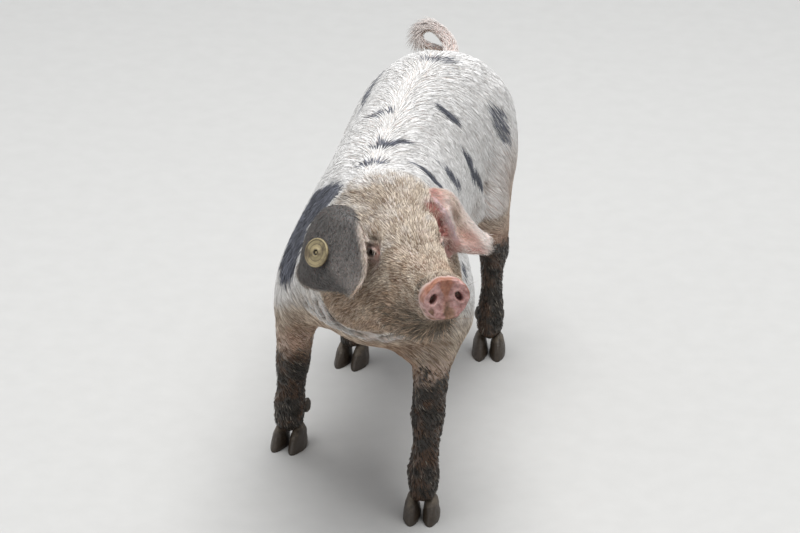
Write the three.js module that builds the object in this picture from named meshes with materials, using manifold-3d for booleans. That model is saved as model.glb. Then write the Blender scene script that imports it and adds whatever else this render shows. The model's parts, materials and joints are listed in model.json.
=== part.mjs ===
// A young lop-eared pig in mid-step, with its head raised and turned to its left: a still, life-size model.
// Millimetres, +Z up. The pig faces -Y, so its right side is -X and its left side is +X. Wherever a shape is
// made for both sides, `side` is -1 on the pig's right and 1 on its left.
import * as THREE from "three";
import { MarchingCubes } from "three/addons/objects/MarchingCubes.js";
import { mergeVertices } from "three/addons/utils/BufferGeometryUtils.js";
import Module from "manifold-3d";

const wasm = await Module();
wasm.setup();
const { Manifold } = wasm;

// ---- driving sizes ----
const backHeight = 368; // top of the back above the floor
const waistHalfWidth = 73;
const headHalfWidth = 66; // across the cheeks
const headYaw = 27.5; // degrees, turned to the pig's left
const eyeLevel = new THREE.Vector3(66, -287, 338); // midpoint between the eyes
const eyeRadius = 10.5;
const cut = 0.6; // width of the thin cuts between neighbouring parts
const clearance = 0.35; // between a piece and what it is set into
const clawHeight = 27;

const colours = {
  white: { color: 0xe8d9cc, roughness: 0.75, metalness: 0 },
  pink: { color: 0xd9877c, roughness: 0.55, metalness: 0 },
  grey: { color: 0x77747a, roughness: 0.75, metalness: 0 },
  mud: { color: 0x3b3026, roughness: 0.6, metalness: 0 },
  horn: { color: 0x4a4034, roughness: 0.5, metalness: 0 },
  eye: { color: 0x1c1512, roughness: 0.1, metalness: 0 },
  tag: { color: 0xb09a55, roughness: 0.45, metalness: 0 },
};

// ---- small maths ----
const mix = (a, b, t) => a + (b - a) * t;
const clamp01 = (t) => Math.min(1, Math.max(0, t));

// A smooth curve y(x) through a few points, level beyond its ends.
function curve(points) {
  const slope = points.map((p, i) => {
    const left = points[Math.max(i - 1, 0)];
    const right = points[Math.min(i + 1, points.length - 1)];
    return (right[1] - left[1]) / (right[0] - left[0]);
  });
  return (x) => {
    const last = points.length - 1;
    if (x <= points[0][0]) return points[0][1];
    if (x >= points[last][0]) return points[last][1];
    let i = 0;
    while (x > points[i + 1][0]) i += 1;
    const [x0, y0] = points[i];
    const [x1, y1] = points[i + 1];
    const h = x1 - x0;
    const t = (x - x0) / h;
    const u = 1 - t;
    return (
      y0 * u * u * (1 + 2 * t) +
      slope[i] * h * t * u * u +
      y1 * t * t * (3 - 2 * t) -
      slope[i + 1] * h * u * t * t
    );
  };
}

// ---- shapes as distance fields: negative inside, positive outside ----

// Two distances joined with a fillet about `blend` wide.
function join(a, b, blend) {
  const h = Math.max(blend - Math.abs(a - b), 0) / blend;
  return Math.min(a, b) - (h * h * blend) / 4;
}

// The first distance with the second shape scooped out of it, its rim rounded about `blend` wide.
const scoop = (a, b, blend) => -join(-a, b, blend);

// A muscle or other round mass: an ellipsoid, turned by Euler angles in degrees.
function lobe(centre, radii, turn = [0, 0, 0]) {
  const angles = turn.map(THREE.MathUtils.degToRad);
  const matrix = new THREE.Matrix4()
    .makeRotationFromEuler(new THREE.Euler(...angles))
    .invert();
  const e = matrix.elements;
  return (x, y, z) => {
    const dx = x - centre[0];
    const dy = y - centre[1];
    const dz = z - centre[2];
    const px = (e[0] * dx + e[4] * dy + e[8] * dz) / radii[0];
    const py = (e[1] * dx + e[5] * dy + e[9] * dz) / radii[1];
    const pz = (e[2] * dx + e[6] * dy + e[10] * dz) / radii[2];
    const k0 = Math.hypot(px, py, pz);
    const k1 = Math.hypot(px / radii[0], py / radii[1], pz / radii[2]);
    return k1 < 1e-9 ? -Math.min(...radii) : (k0 * (k0 - 1)) / k1;
  };
}

// A limb bone with its flesh: round, tapering from radius ra at a to rb at b.
function limb(a, b, ra, rb) {
  const [dx, dy, dz] = b.map((v, i) => v - a[i]);
  const length2 = dx * dx + dy * dy + dz * dz;
  return (x, y, z) => {
    const t = clamp01(
      ((x - a[0]) * dx + (y - a[1]) * dy + (z - a[2]) * dz) / length2,
    );
    return (
      Math.hypot(x - a[0] - t * dx, y - a[1] - t * dy, z - a[2] - t * dz) -
      mix(ra, rb, t)
    );
  };
}

// A long body whose section at each station is a rounded oval between an upper and a lower outline.
function sweep({ from, to, top, bottom, half, fullness, bend = () => 0 }) {
  return (along, off, up) => {
    const s = Math.min(to, Math.max(from, along));
    const across = off - bend(s);
    const middle = (top(s) + bottom(s)) / 2;
    const height = (top(s) - bottom(s)) / 2;
    const dz = up - middle;
    const k =
      (Math.abs(across / half(s)) ** fullness +
        Math.abs(dz / height) ** fullness) **
      (1 / fullness);
    const r = Math.hypot(across, dz);
    const section = k < 1e-6 ? -Math.min(half(s), height) : r * (1 - 1 / k);
    const past = Math.max(from - along, along - to);
    return past > 0 && section > 0
      ? Math.hypot(section, past)
      : Math.max(section, past);
  };
}

// All the shapes of a list of [shape, blend], joined in turn.
function flesh(list) {
  return (x, y, z) => {
    let d = list[0][0](x, y, z);
    for (let i = 1; i < list.length; i += 1)
      d = join(d, list[i][0](x, y, z), list[i][1]);
    return d;
  };
}

// ---- solids ----
function solidOf(geometry) {
  const bare = geometry.clone();
  for (const name of Object.keys(bare.attributes))
    if (name !== "position") bare.deleteAttribute(name);
  const { attributes, index } = mergeVertices(bare, 1e-3);
  const made = (triVerts) =>
    new Manifold(
      new wasm.Mesh({
        numProp: 3,
        vertProperties: attributes.position.array,
        triVerts,
      }),
    );
  const solid = made(new Uint32Array(index.array));
  return solid.volume() > 0
    ? solid
    : made(new Uint32Array(index.array).reverse());
}

function geometryOf(solid) {
  const { vertProperties, triVerts } = solid.getMesh();
  return new THREE.BufferGeometry()
    .setAttribute("position", new THREE.BufferAttribute(vertProperties, 3))
    .setIndex(new THREE.BufferAttribute(triVerts, 1));
}

const leastDistance = 0.05; // keeps the surface off the grid's own corners

// The surface of a field inside the box from low to high, in cells of one size, closed off at the box.
function surface(field, low, high, cell) {
  const size = high.map((v, i) => v - low[i]);
  const count = Math.ceil(Math.max(...size) / cell) + 6;
  const centre = low.map((v, i) => (v + high[i]) / 2);
  const maker = new MarchingCubes(
    count,
    new THREE.MeshBasicMaterial(),
    false,
    false,
    60000,
  );
  maker.isolation = 0;
  const place = (index, axis) => centre[axis] + (index - count / 2) * cell;
  for (let k = 0; k < count; k += 1)
    for (let j = 0; j < count; j += 1)
      for (let i = 0; i < count; i += 1) {
        const at = [place(i, 0), place(j, 1), place(k, 2)];
        const past = Math.max(
          ...at.map((v, a) => Math.abs(v - centre[a]) - size[a] / 2),
        );
        const d = Math.max(field(...at), past);
        const corner = i + count * (j + count * k);
        maker.field[corner] = Math.abs(d) < leastDistance ? leastDistance : -d;
      }
  maker.update();
  const scale = (count * cell) / 2;
  const points = maker.geometry.attributes.position.array.slice(
    0,
    maker.count * 3,
  );
  const geometry = new THREE.BufferGeometry().setAttribute(
    "position",
    new THREE.BufferAttribute(points, 3),
  );
  geometry.scale(scale, scale, scale);
  geometry.translate(...centre);
  return solidOf(geometry);
}

// The largest piece of a solid, without the crumbs that a cut can leave.
function whole(solid) {
  const pieces = solid.decompose();
  return pieces.reduce((a, b) => (a.volume() > b.volume() ? a : b));
}

// Keeps what lies on the side of a plane that its normal points to, less half a thin cut.
function keep(solid, point, normal, gap = cut / 2) {
  const n = new THREE.Vector3(...normal).normalize();
  const offset = n.dot(new THREE.Vector3(...point));
  return solid.trimByPlane([n.x, n.y, n.z], offset + gap);
}

const facing = (normal) => normal.map((v) => -v);

// A closed solid made by bending a three.js primitive: every point goes where `place` puts it.
function warp(geometry, place) {
  const p = geometry.attributes.position;
  for (let i = 0; i < p.count; i += 1)
    p.setXYZ(i, ...place(p.getX(i), p.getY(i), p.getZ(i)));
  return solidOf(geometry);
}

function ball(centre, radii, around = 14) {
  return solidOf(
    new THREE.SphereGeometry(1, around, Math.round(around * 0.7))
      .scale(...radii)
      .translate(...centre),
  );
}

// ---- trunk ----
const backLine = curve([
  [-232, 298],
  [-200, 338],
  [-140, 359],
  [-60, backHeight - 2],
  [20, backHeight],
  [90, backHeight - 2],
  [150, 364],
  [195, 354],
  [224, 336],
  [240, 300],
]);
const bellyLine = curve([
  [-232, 235],
  [-205, 190],
  [-160, 167],
  [-80, 157],
  [0, 151],
  [60, 156],
  [120, 176],
  [205, 206],
  [240, 238],
]);
const sideLine = curve([
  [-232, 36],
  [-205, 62],
  [-160, 74],
  [-110, 76],
  [-50, waistHalfWidth + 1],
  [20, waistHalfWidth],
  [80, waistHalfWidth + 1],
  [140, 80],
  [180, 83],
  [215, 71],
  [240, 34],
]);
const spine = curve([
  [-220, 18],
  [-150, 11],
  [-60, 4],
  [20, 2],
  [110, 6],
  [200, 16],
]);
const barrel = sweep({
  from: -232,
  to: 240,
  top: backLine,
  bottom: bellyLine,
  half: sideLine,
  fullness: 2.12,
  bend: spine,
});
const trunkShapes = [[(x, y, z) => barrel(y, x, z), 0]];
for (const side of [-1, 1]) {
  const shoulder = [4 + side * 66, -116, 227 - side * 6];
  const ham = [7 + side * 52, 172, 236 + side * 4];
  trunkShapes.push(
    [lobe(shoulder, [34, 52, 70], [-10, -side * 13, 0]), 22],
    [lobe(ham, [38, 62, 84], [12, -side * 4, 0]), 24],
  );
}

// ---- legs: points down each leg, from the trunk to the foot ----
const legs = {
  fore_right: {
    side: -1,
    joints: [
      [-64, -130, 216, 34],
      [-82, -110, 178, 25],
      [-91, -92, 106, 18],
      [-98, -80, 48, 16.5],
      [-100, -77, 30, 17],
    ],
    foot: [-100, -81],
    toeTurn: -8,
    root: { at: [0, 0, 158], up: [0, 0, 1] },
  },
  fore_left: {
    side: 1,
    joints: [
      [66, -142, 222, 36],
      [67, -150, 180, 25],
      [67, -174, 106, 18],
      [66, -194, 48, 16.5],
      [66, -199, 30, 17],
    ],
    foot: [66, -205],
    toeTurn: 6,
    root: { at: [0, 0, 158], up: [0, 0, 1] },
  },
  hind_right: {
    side: -1,
    joints: [
      [-48, 140, 250, 44],
      [-61, 100, 200, 30],
      [-69, 152, 124, 17],
      [-73, 134, 48, 15],
      [-75, 128, 30, 16.5],
    ],
    foot: [-75, 122],
    toeTurn: -8,
    root: { at: [0, 70, 154], up: [0, -0.42, 1] },
  },
  hind_left: {
    side: 1,
    joints: [
      [58, 152, 250, 44],
      [70, 118, 200, 30],
      [71, 196, 124, 17],
      [71, 184, 48, 15],
      [71, 178, 30, 16.5],
    ],
    foot: [71, 172],
    toeTurn: 8,
    root: { at: [0, 70, 154], up: [0, -0.42, 1] },
  },
};
const legShapes = [];
for (const { joints } of Object.values(legs))
  for (let i = 0; i + 1 < joints.length; i += 1) {
    const [a, b] = [joints[i], joints[i + 1]];
    legShapes.push([
      limb(a.slice(0, 3), b.slice(0, 3), a[3], b[3]),
      i === 0 ? 20 : 12,
    ]);
  }
for (const name of ["hind_right", "hind_left"]) {
  const [x, y, z] = legs[name].joints[2];
  legShapes.push([lobe([x, y + 15, z + 12], [10, 12, 20], [18, 0, 0]), 14]); // point of the hock
  legShapes.push([lobe([x, y - 14, z + 52], [19, 30, 36], [24, 0, 0]), 16]); // calf
}

// ---- head: stations forward of the eyes, heights above them ----
const headAxes = new THREE.Matrix4().makeRotationZ(
  THREE.MathUtils.degToRad(headYaw),
);
const headMatrix = new THREE.Matrix4()
  .makeTranslation(eyeLevel)
  .multiply(headAxes);
const headInverse = headMatrix.clone().invert().elements;

// A shape written as (forward, left, up) of the head, read at a point of the pig.
function onHead(shape) {
  const e = headInverse;
  return (x, y, z) =>
    shape(
      -(e[1] * x + e[5] * y + e[9] * z + e[13]),
      e[0] * x + e[4] * y + e[8] * z + e[12],
      e[2] * x + e[6] * y + e[10] * z + e[14],
    );
}

// The pig's own coordinates of a point or direction given as forward, left and up of the head.
function fromHead([forward, left, up]) {
  return new THREE.Vector3(left, -forward, up)
    .applyMatrix4(headMatrix)
    .toArray();
}
function headDirection([forward, left, up]) {
  return new THREE.Vector3(left, -forward, up)
    .applyMatrix4(headAxes)
    .toArray();
}

const snoutTip = 124; // disc, forward of the eyes
const skull = sweep({
  from: -104,
  to: 116,
  top: curve([
    [-104, 26],
    [-88, 40],
    [-62, 45],
    [-30, 42],
    [0, 35],
    [28, 25],
    [60, 18.5],
    [95, 19],
    [116, 21],
  ]),
  bottom: curve([
    [-104, -50],
    [-60, -50],
    [0, -38],
    [50, -26],
    [90, -20],
    [116, -17],
  ]),
  half: curve([
    [-104, 44],
    [-70, 49],
    [-35, 44],
    [-5, 35],
    [25, 32],
    [55, 27],
    [90, 23.5],
    [116, 22.5],
  ]),
  fullness: 2.3,
});
const jaw = sweep({
  from: -104,
  to: 106,
  top: curve([
    [-104, 0],
    [-30, -8],
    [40, -12],
    [106, -18],
  ]),
  bottom: curve([
    [-104, -80],
    [-75, -91],
    [-35, -94],
    [5, -86],
    [45, -72],
    [75, -61],
    [94, -48],
    [106, -34],
  ]),
  half: curve([
    [-104, headHalfWidth - 6],
    [-65, headHalfWidth],
    [-35, headHalfWidth - 3],
    [-5, headHalfWidth - 15],
    [30, 37],
    [60, 27],
    [90, 19],
    [106, 12],
  ]),
  fullness: 2.5,
});
const discTilt = 12; // degrees, the disc looks a little upward
const discMass = (left, up, radii) =>
  onHead(lobe([snoutTip - 6.5, left, up], radii, [0, -discTilt, 0]));
const disc = flesh([
  [discMass(-6, 2, [8, 15.5, 16]), 0],
  [discMass(9, 2, [8, 15.5, 16]), 5],
  [discMass(2, -6, [8, 15, 15]), 5],
]);
const headShapes = [
  [onHead(skull), 30],
  [onHead(jaw), 22],
  [onHead(lobe([-10, 33, 17], [22, 10, 8])), 14], // left brow
  [onHead(lobe([-10, -33, 17], [22, 10, 8])), 14], // right brow
  [onHead(lobe([-50, 38, -66], [44, 26, 32])), 20], // left jowl
  [onHead(lobe([-50, -38, -66], [44, 26, 32])), 20], // right jowl
  [disc, 7],
];
const eyeHollow = (side) =>
  onHead(lobe([8, side * 44, 0], [17, 11, 9], [0, 0, side * 32]));

// ---- neck ----
const poll = fromHead([-88, 0, -10]);
const throat = fromHead([-72, 0, -44]);
const neckShapes = [
  [limb(poll, [8, -110, 303], 50, 58), 26],
  [limb(throat, [4, -140, 252], 50, 74), 26],
];

const fullBody = flesh([
  ...trunkShapes,
  ...legShapes,
  ...neckShapes,
  ...headShapes,
]);
const hollows = [eyeHollow(-1), eyeHollow(1)];
const body = (x, y, z) =>
  hollows.reduce((d, hollow) => scoop(d, hollow(x, y, z), 8), fullBody(x, y, z));

// ---- cutting planes between head, neck, trunk and legs ----
const headCut = {
  at: fromHead([-80, 0, -20]),
  up: headDirection([1, 0, 0.25]),
};
const neckCut = { at: [0, -182, 290], up: [0.3, -1, 0.1] };
const chestCut = { at: [0, -52, 0], up: [0, -1, 0] };
const rumpCut = { at: [0, 108, 0], up: [0, 1, 0] };
const snoutCut = { at: fromHead([99, 0, 0]), up: headDirection([1, 0, 0.12]) };
const beyond = (solid, { at, up }) => keep(solid, at, up);
const before = (solid, { at, up }) => keep(solid, at, facing(up));

const parts = new THREE.Group();
function add(name, solid, colour) {
  const mesh = new THREE.Mesh(
    geometryOf(whole(solid)),
    new THREE.MeshStandardMaterial(colour),
  );
  mesh.name = name;
  parts.add(mesh);
}

// ---- trunk, in three lengths ----
const trunkLow = [-125, -252, 130];
const trunkHigh = [125, 262, 400];
const trunkCell = 29;
let trunk = before(surface(body, trunkLow, trunkHigh, trunkCell), neckCut);
trunk = beyond(trunk, legs.fore_left.root);
trunk = beyond(trunk, legs.hind_left.root);
add("chest", beyond(trunk, chestCut), colours.white);
add("belly", before(before(trunk, chestCut), rumpCut), colours.white);
add("rump", beyond(trunk, rumpCut), colours.white);

// ---- neck ----
const neckLow = [-115, -292, 175];
const neckHigh = [145, -110, 410];
const neckCell = 22;
const neckBlock = surface(body, neckLow, neckHigh, neckCell);
const neck = before(beyond(neckBlock, neckCut), headCut);
add("neck", beyond(neck, legs.fore_left.root), colours.white);

// ---- head, snout, lower jaw and eyes ----
const headLow = [-62, -440, 225];
const headHigh = [200, -180, 400];
const headCell = 14;
const eyes = [-1, 1].map((side) => {
  const centre = fromHead([-2, side * 29, 0]);
  const socket = eyeRadius + clearance;
  return {
    name: side < 0 ? "eye_right" : "eye_left",
    eyeball: ball(centre, [eyeRadius, eyeRadius, eyeRadius], 12),
    socket: ball(centre, [socket, socket, socket], 12),
  };
});

// The lower jaw is what lies below the line of the mouth, forward of its corners.
function jawBlock(grown) {
  const corner = 34 - grown;
  const lip = -26 + grown;
  const block = new THREE.BoxGeometry(90, 100, 60)
    .translate(0, -corner - 50, lip - 30)
    .applyMatrix4(headMatrix);
  return solidOf(block);
}

function nostril(side) {
  return ball([0, 0, 0], [4.3, 17, 6.2], 10)
    .rotate([-discTilt, side * 18, side * 12])
    .translate([side * 11.5, -snoutTip, 1])
    .rotate([0, 0, headYaw])
    .translate(eyeLevel.toArray());
}

const headBlock = surface(body, headLow, headHigh, headCell);
const skullBlock = before(beyond(headBlock, headCut), snoutCut);
add(
  "head",
  eyes.reduce(
    (solid, { socket }) => solid.subtract(socket),
    skullBlock.subtract(jawBlock(cut / 2)),
  ),
  colours.white,
);
add(
  "lower_jaw",
  before(headBlock.intersect(jawBlock(-cut / 2)), snoutCut),
  colours.white,
);
for (const { name, eyeball } of eyes) add(name, eyeball, colours.eye);
const snoutCell = 8.8;
const snoutBlock = surface(body, headLow, headHigh, snoutCell);
add(
  "snout",
  [-1, 1].reduce(
    (solid, side) => solid.subtract(nostril(side)),
    beyond(snoutBlock, snoutCut).subtract(jawBlock(cut / 2)),
  ),
  colours.pink,
);

// ---- legs, each in an upper and a lower length, with the claws set into the foot ----

// A claw or dew claw: a horn shell drawn to a point in front and sloping back as it rises.
function claw(leg, [across, back, lift], [wide, long, tall], around) {
  const { foot, toeTurn } = legs[leg];
  const turn = THREE.MathUtils.degToRad(toeTurn);
  const dome = new THREE.SphereGeometry(1, around, Math.round(around * 0.6));
  return warp(dome, (x, y, z) => {
    const px = across + x * wide * (1 - 0.3 * clamp01(-y));
    const py = back + y * long + Math.max(z, 0) * tall * 0.4;
    return [
      foot[0] + px * Math.cos(turn) - py * Math.sin(turn),
      foot[1] + px * Math.sin(turn) + py * Math.cos(turn),
      lift + z * tall,
    ];
  });
}

const legCell = 15.5;
const clawSize = [9.4, 18.5, clawHeight];
const dewclawSize = [5.2, 7, 9];
const grown = (size) => size.map((v) => v + clearance);
for (const [name, { side, joints, root }] of Object.entries(legs)) {
  const xs = joints.map((j) => j[0]);
  const ys = joints.map((j) => j[1]);
  const low = [Math.min(...xs) - 60, Math.min(...ys) - 70, 12];
  const high = [Math.max(...xs) + 60, Math.max(...ys) + 70, 240];
  let leg = before(surface(body, low, high, legCell), root);
  leg = keep(leg, [side * 8, 0, 0], [side, 0, 0]);
  const horn = [];
  for (const [place, out] of [
    ["inner", -side],
    ["outer", side],
  ]) {
    const at = [out * 9.8, 0, 0];
    const high = [out * 12, 23, 40];
    const shell = claw(name, at, clawSize, 11);
    const dew = claw(name, high, dewclawSize, 7);
    horn.push([`claw_${name}_${place}`, keep(shell, [0, 0, 0], [0, 0, 1], 0)]);
    horn.push([`dewclaw_${name}_${place}`, dew]);
    leg = leg
      .subtract(claw(name, at, grown(clawSize), 11))
      .subtract(claw(name, high, grown(dewclawSize), 7));
  }
  const knee = { at: joints[2].slice(0, 3), up: [0, 0, 1] };
  add(`${name}_upper`, beyond(leg, knee), colours.white);
  add(`${name}_lower`, before(leg, knee), colours.mud);
  for (const [hornName, solid] of horn) add(hornName, solid, colours.horn);
}

// ---- ears: thin leaves through rows of points, each row from the front edge to the rear edge ----
const earRoom = 0.8; // the head's flesh is cut away from an ear by this much
const headCutter = surface(
  (x, y, z) => body(x, y, z) - earRoom,
  headLow,
  headHigh,
  headCell,
);
const neckCutter = surface(
  (x, y, z) => body(x, y, z) - earRoom,
  neckLow,
  neckHigh,
  neckCell,
);

function leafOf(rows) {
  const lines = rows.map(
    (row) =>
      new THREE.CatmullRomCurve3(
        row.map((p) => new THREE.Vector3(...fromHead(p))),
      ),
  );
  const at = (u, v) =>
    new THREE.CatmullRomCurve3(
      lines.map((line) => line.getPoint(clamp01(u))),
    ).getPoint(clamp01(v));
  const out = (u, v) => {
    const step = 0.02;
    const across = at(u + step, v).sub(at(u - step, v));
    const along = at(u, v + step).sub(at(u, v - step));
    return across.cross(along).normalize();
  };
  return { at, out };
}

function earSolid({ at, out }, thick) {
  return warp(new THREE.BoxGeometry(1, 1, 1, 6, 7, 1), (x, y, z) => {
    const u = x + 0.5;
    const v = y + 0.5;
    const edge = Math.sin(Math.PI * mix(0.15, 0.85, u));
    const thickness = thick * mix(1, 0.55, v) * mix(0.6, 1, edge);
    return at(u, v).addScaledVector(out(u, v), z * thickness).toArray();
  })
    .subtract(headCutter)
    .subtract(neckCutter);
}

const rightLeaf = leafOf([
  [
    [-35, -39, 26],
    [-60, -44, 21],
    [-76, -58, -38],
  ],
  [
    [-14, -43, 27],
    [-46, -66, 28],
    [-76, -82, -42],
  ],
  [
    [14, -43, 11],
    [-36, -84, 2],
    [-54, -90, -46],
  ],
  [
    [28, -47, -11],
    [-10, -80, -16],
    [-30, -87, -44],
  ],
  [
    [31, -60, -29],
    [20, -64, -30],
    [4, -69, -34],
  ],
]);
const leftLeaf = leafOf([
  [
    [-24, 22, 34],
    [-60, 38, 28],
    [-74, 60, -30],
  ],
  [
    [-12, 39, 17],
    [-52, 57, 28],
    [-74, 78, -22],
  ],
  [
    [-14, 49, -12],
    [-54, 76, 0],
    [-72, 90, -26],
  ],
  [
    [-36, 90, -35],
    [-47, 98, -33],
    [-59, 103, -28],
  ],
]);

// ---- ear tag: a button on the outer face, a stud with its round back behind, and a pin through the ear ----
const tag = { radius: 14, thick: 3, across: 0.41, along: 0.62 };
const tagPoint = rightLeaf.at(tag.across, tag.along);
const tagOut = rightLeaf.out(tag.across, tag.along);
if (tagOut.x > 0) tagOut.negate();
const tagTurn = new THREE.Matrix4()
  .makeTranslation(tagPoint)
  .multiply(
    new THREE.Matrix4().makeRotationFromQuaternion(
      new THREE.Quaternion().setFromUnitVectors(
        new THREE.Vector3(0, 1, 0),
        tagOut,
      ),
    ),
  );
// A round piece on the axis of the tag, between two heights above the middle of the ear.
function round(radius, from, to, around = 16) {
  return solidOf(
    new THREE.CylinderGeometry(radius, radius, to - from, around)
      .translate(0, (from + to) / 2, 0)
      .applyMatrix4(tagTurn),
  );
}
const face = 4.2; // height of the button above the middle of the ear, and of the stud below it
const button = round(tag.radius, face, face + tag.thick)
  .subtract(round(tag.radius - 1.6, face + tag.thick - 0.7, 20))
  .add(round(4.2, face + 1, face + tag.thick + 0.4))
  .subtract(round(1.6 + clearance, face - 1, 20, 12));
const stud = round(7.5, -face - 2, -face).add(
  round(1.6, -face - 1, face + tag.thick - 0.6, 12),
);
const pinHole = round(1.6 + clearance, -8, 8, 12);

add("ear_right", earSolid(rightLeaf, 5).subtract(pinHole), colours.grey);
add("ear_left", earSolid(leftLeaf, 5), colours.pink);
add("ear_tag_button", button, colours.tag);
add("ear_tag_stud", stud, colours.tag);

// ---- tail: a curl that rises from the rump and turns over to the pig's right ----
const tailLine = new THREE.CatmullRomCurve3(
  [
    [10, 212, 320],
    [15, 238, 333],
    [4, 249, 348],
    [-12, 253, 355],
    [-24, 250, 348],
    [-21, 247, 338],
    [-8, 249, 332],
    [4, 254, 328],
  ].map((p) => new THREE.Vector3(...p)),
);
const tailRadius = curve([
  [0, 10.5],
  [0.3, 7.6],
  [0.6, 5.2],
  [1, 3.2],
]);
const tailSteps = 16;
const tailFrames = tailLine.computeFrenetFrames(tailSteps);
const tailTube = warp(
  new THREE.CylinderGeometry(1, 1, 1, 8, tailSteps),
  (x, y, z) => {
    const t = y + 0.5;
    const i = Math.round(t * tailSteps);
    const r = tailRadius(t);
    return tailLine
      .getPointAt(t)
      .addScaledVector(tailFrames.normals[i], x * r)
      .addScaledVector(tailFrames.binormals[i], z * r)
      .toArray();
  },
);
const rumpCutter = surface(
  (x, y, z) => body(x, y, z) - earRoom,
  trunkLow,
  trunkHigh,
  trunkCell,
);
add("tail", tailTube.subtract(rumpCutter), colours.pink);

// ---- the floor is at zero and the origin is under the middle of the whole ----
const whereabouts = new THREE.Box3().setFromObject(parts);
const middle = whereabouts.getCenter(new THREE.Vector3());
for (const mesh of parts.children)
  mesh.geometry.translate(-middle.x, -middle.y, -whereabouts.min.z);

export default parts;
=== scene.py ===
import json
import math

import bmesh
import bpy
import numpy as np
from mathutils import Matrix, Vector
from mathutils.bvhtree import BVHTree

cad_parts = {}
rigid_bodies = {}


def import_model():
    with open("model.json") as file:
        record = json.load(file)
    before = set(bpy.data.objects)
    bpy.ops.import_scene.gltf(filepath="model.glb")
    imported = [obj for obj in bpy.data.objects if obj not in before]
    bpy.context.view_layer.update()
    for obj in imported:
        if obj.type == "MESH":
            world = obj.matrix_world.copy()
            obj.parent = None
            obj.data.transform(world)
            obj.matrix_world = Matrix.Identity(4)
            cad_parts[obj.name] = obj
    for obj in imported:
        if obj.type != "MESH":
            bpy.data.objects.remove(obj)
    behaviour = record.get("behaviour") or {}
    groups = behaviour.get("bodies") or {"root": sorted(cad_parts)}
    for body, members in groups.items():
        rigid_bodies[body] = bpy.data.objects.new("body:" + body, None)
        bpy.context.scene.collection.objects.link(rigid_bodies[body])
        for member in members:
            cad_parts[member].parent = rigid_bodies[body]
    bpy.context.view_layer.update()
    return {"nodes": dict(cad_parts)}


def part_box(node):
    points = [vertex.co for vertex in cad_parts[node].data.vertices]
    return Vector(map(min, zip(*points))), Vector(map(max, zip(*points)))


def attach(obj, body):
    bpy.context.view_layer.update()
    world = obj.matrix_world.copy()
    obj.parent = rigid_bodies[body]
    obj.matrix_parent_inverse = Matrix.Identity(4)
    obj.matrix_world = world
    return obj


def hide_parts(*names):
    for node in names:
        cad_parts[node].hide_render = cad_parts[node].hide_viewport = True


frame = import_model()
nodes = frame["nodes"]
print("frame loaded:", len(nodes), "nodes")

# Shaping is done in millimetres in the pig's own coordinates: x to its left, y backwards, z up.
headYaw = math.radians(27.5)  # the head is turned to the pig's left
eyeLevel = np.array([66.0, -287.0, 338.0])  # between the eyes
headAxes = np.array(
    [
        [math.sin(headYaw), -math.cos(headYaw), 0],  # forward
        [math.cos(headYaw), math.sin(headYaw), 0],  # left
        [0, 0, 1],  # up
    ]
)
eyesAhead = 2  # from the middle between the eyeballs to the eye level


def middleOf(node):
    low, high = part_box(node)
    return np.array((low + high) / 2) * 1000


eyesMiddle = (middleOf("eye_right") + middleOf("eye_left")) / 2
offset = eyeLevel - eyesAhead * headAxes[0] - eyesMiddle


def toScene(points):
    return (points - offset) / 1000


def toPig(points):
    return points * 1000 + offset


def toHead(points):
    return (points - eyeLevel) @ headAxes.T


def fromHead(points):
    return np.asarray(points, float) @ headAxes + eyeLevel


def ease(value, start, end):
    t = np.clip((value - start) / (end - start), 0, 1)
    return t * t * (3 - 2 * t)


def hump(value, middle, wide):  # a rounded rise of height 1
    return np.exp(-(((value - middle) / wide) ** 2))


def norm(vectors):
    return np.linalg.norm(vectors, axis=-1)


def unit(vectors):
    return vectors / np.maximum(norm(vectors)[..., None], 1e-9)


def cloud(points, size, seed=0):  # smooth noise from -1 to 1
    place = points / size + seed * 13.7
    cell = np.floor(place).astype(np.int64)
    part = place - cell
    part = part * part * (3 - 2 * part)
    total = np.zeros(len(points))
    for corner in range(8):
        step = np.array([corner & 1, corner >> 1 & 1, corner >> 2])
        at = cell + step
        mixed = at[:, 0] * 73856093 ^ at[:, 1] * 19349663 ^ at[:, 2] * 83492791
        mixed = (mixed ^ (mixed >> 13)) * 1274126177 & 0x7FFFFFFF
        mixed = (mixed ^ (mixed >> 11)) & 0xFFFF
        total += np.prod(np.where(step, part, 1 - part), axis=1) * mixed / 65535
    return total * 2 - 1


def alongLine(points, line):  # distance to a line of points, and how far along it
    line = np.array(line, float)
    best = np.full(len(points), 1e9)
    along = np.zeros(len(points))
    for i, (start, end) in enumerate(zip(line[:-1], line[1:])):
        step = end - start
        t = np.clip((points - start) @ step / (step @ step), 0, 1)
        far = norm(points - start - t[:, None] * step)
        along = np.where(far < best, (i + t) / (len(line) - 1), along)
        best = np.minimum(best, far)
    return best, along


def nearLines(points, lines):  # distance to the nearest of some lines
    return np.min([alongLine(points, line)[0] for line in lines], axis=0)


def curveThrough(points, t):  # centripetal curve through points, at t from 0 to 1
    points = np.asarray(points, float)
    ends = np.array([2 * points[0] - points[1], *points, 2 * points[-1] - points[-2]])
    place = np.clip(t, 0, 1) * (len(points) - 1)
    i = np.minimum(place.astype(int), len(points) - 2)
    w = (place - i)[..., None]
    p0, p1, p2, p3 = (ends[i + k] for k in range(4))
    gaps = norm(np.diff(ends, axis=0)) ** 0.5
    d0, d1, d2 = (gaps[i + k][..., None] for k in range(3))
    t1 = ((p1 - p0) / d0 - (p2 - p0) / (d0 + d1) + (p2 - p1) / d1) * d1
    t2 = ((p2 - p1) / d1 - (p3 - p1) / (d1 + d2) + (p3 - p2) / d2) * d1
    c2 = 3 * (p2 - p1) - 2 * t1 - t2
    c3 = 2 * (p1 - p2) + t1 + t2
    return p1 + w * (t1 + w * (c2 + w * c3))


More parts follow.
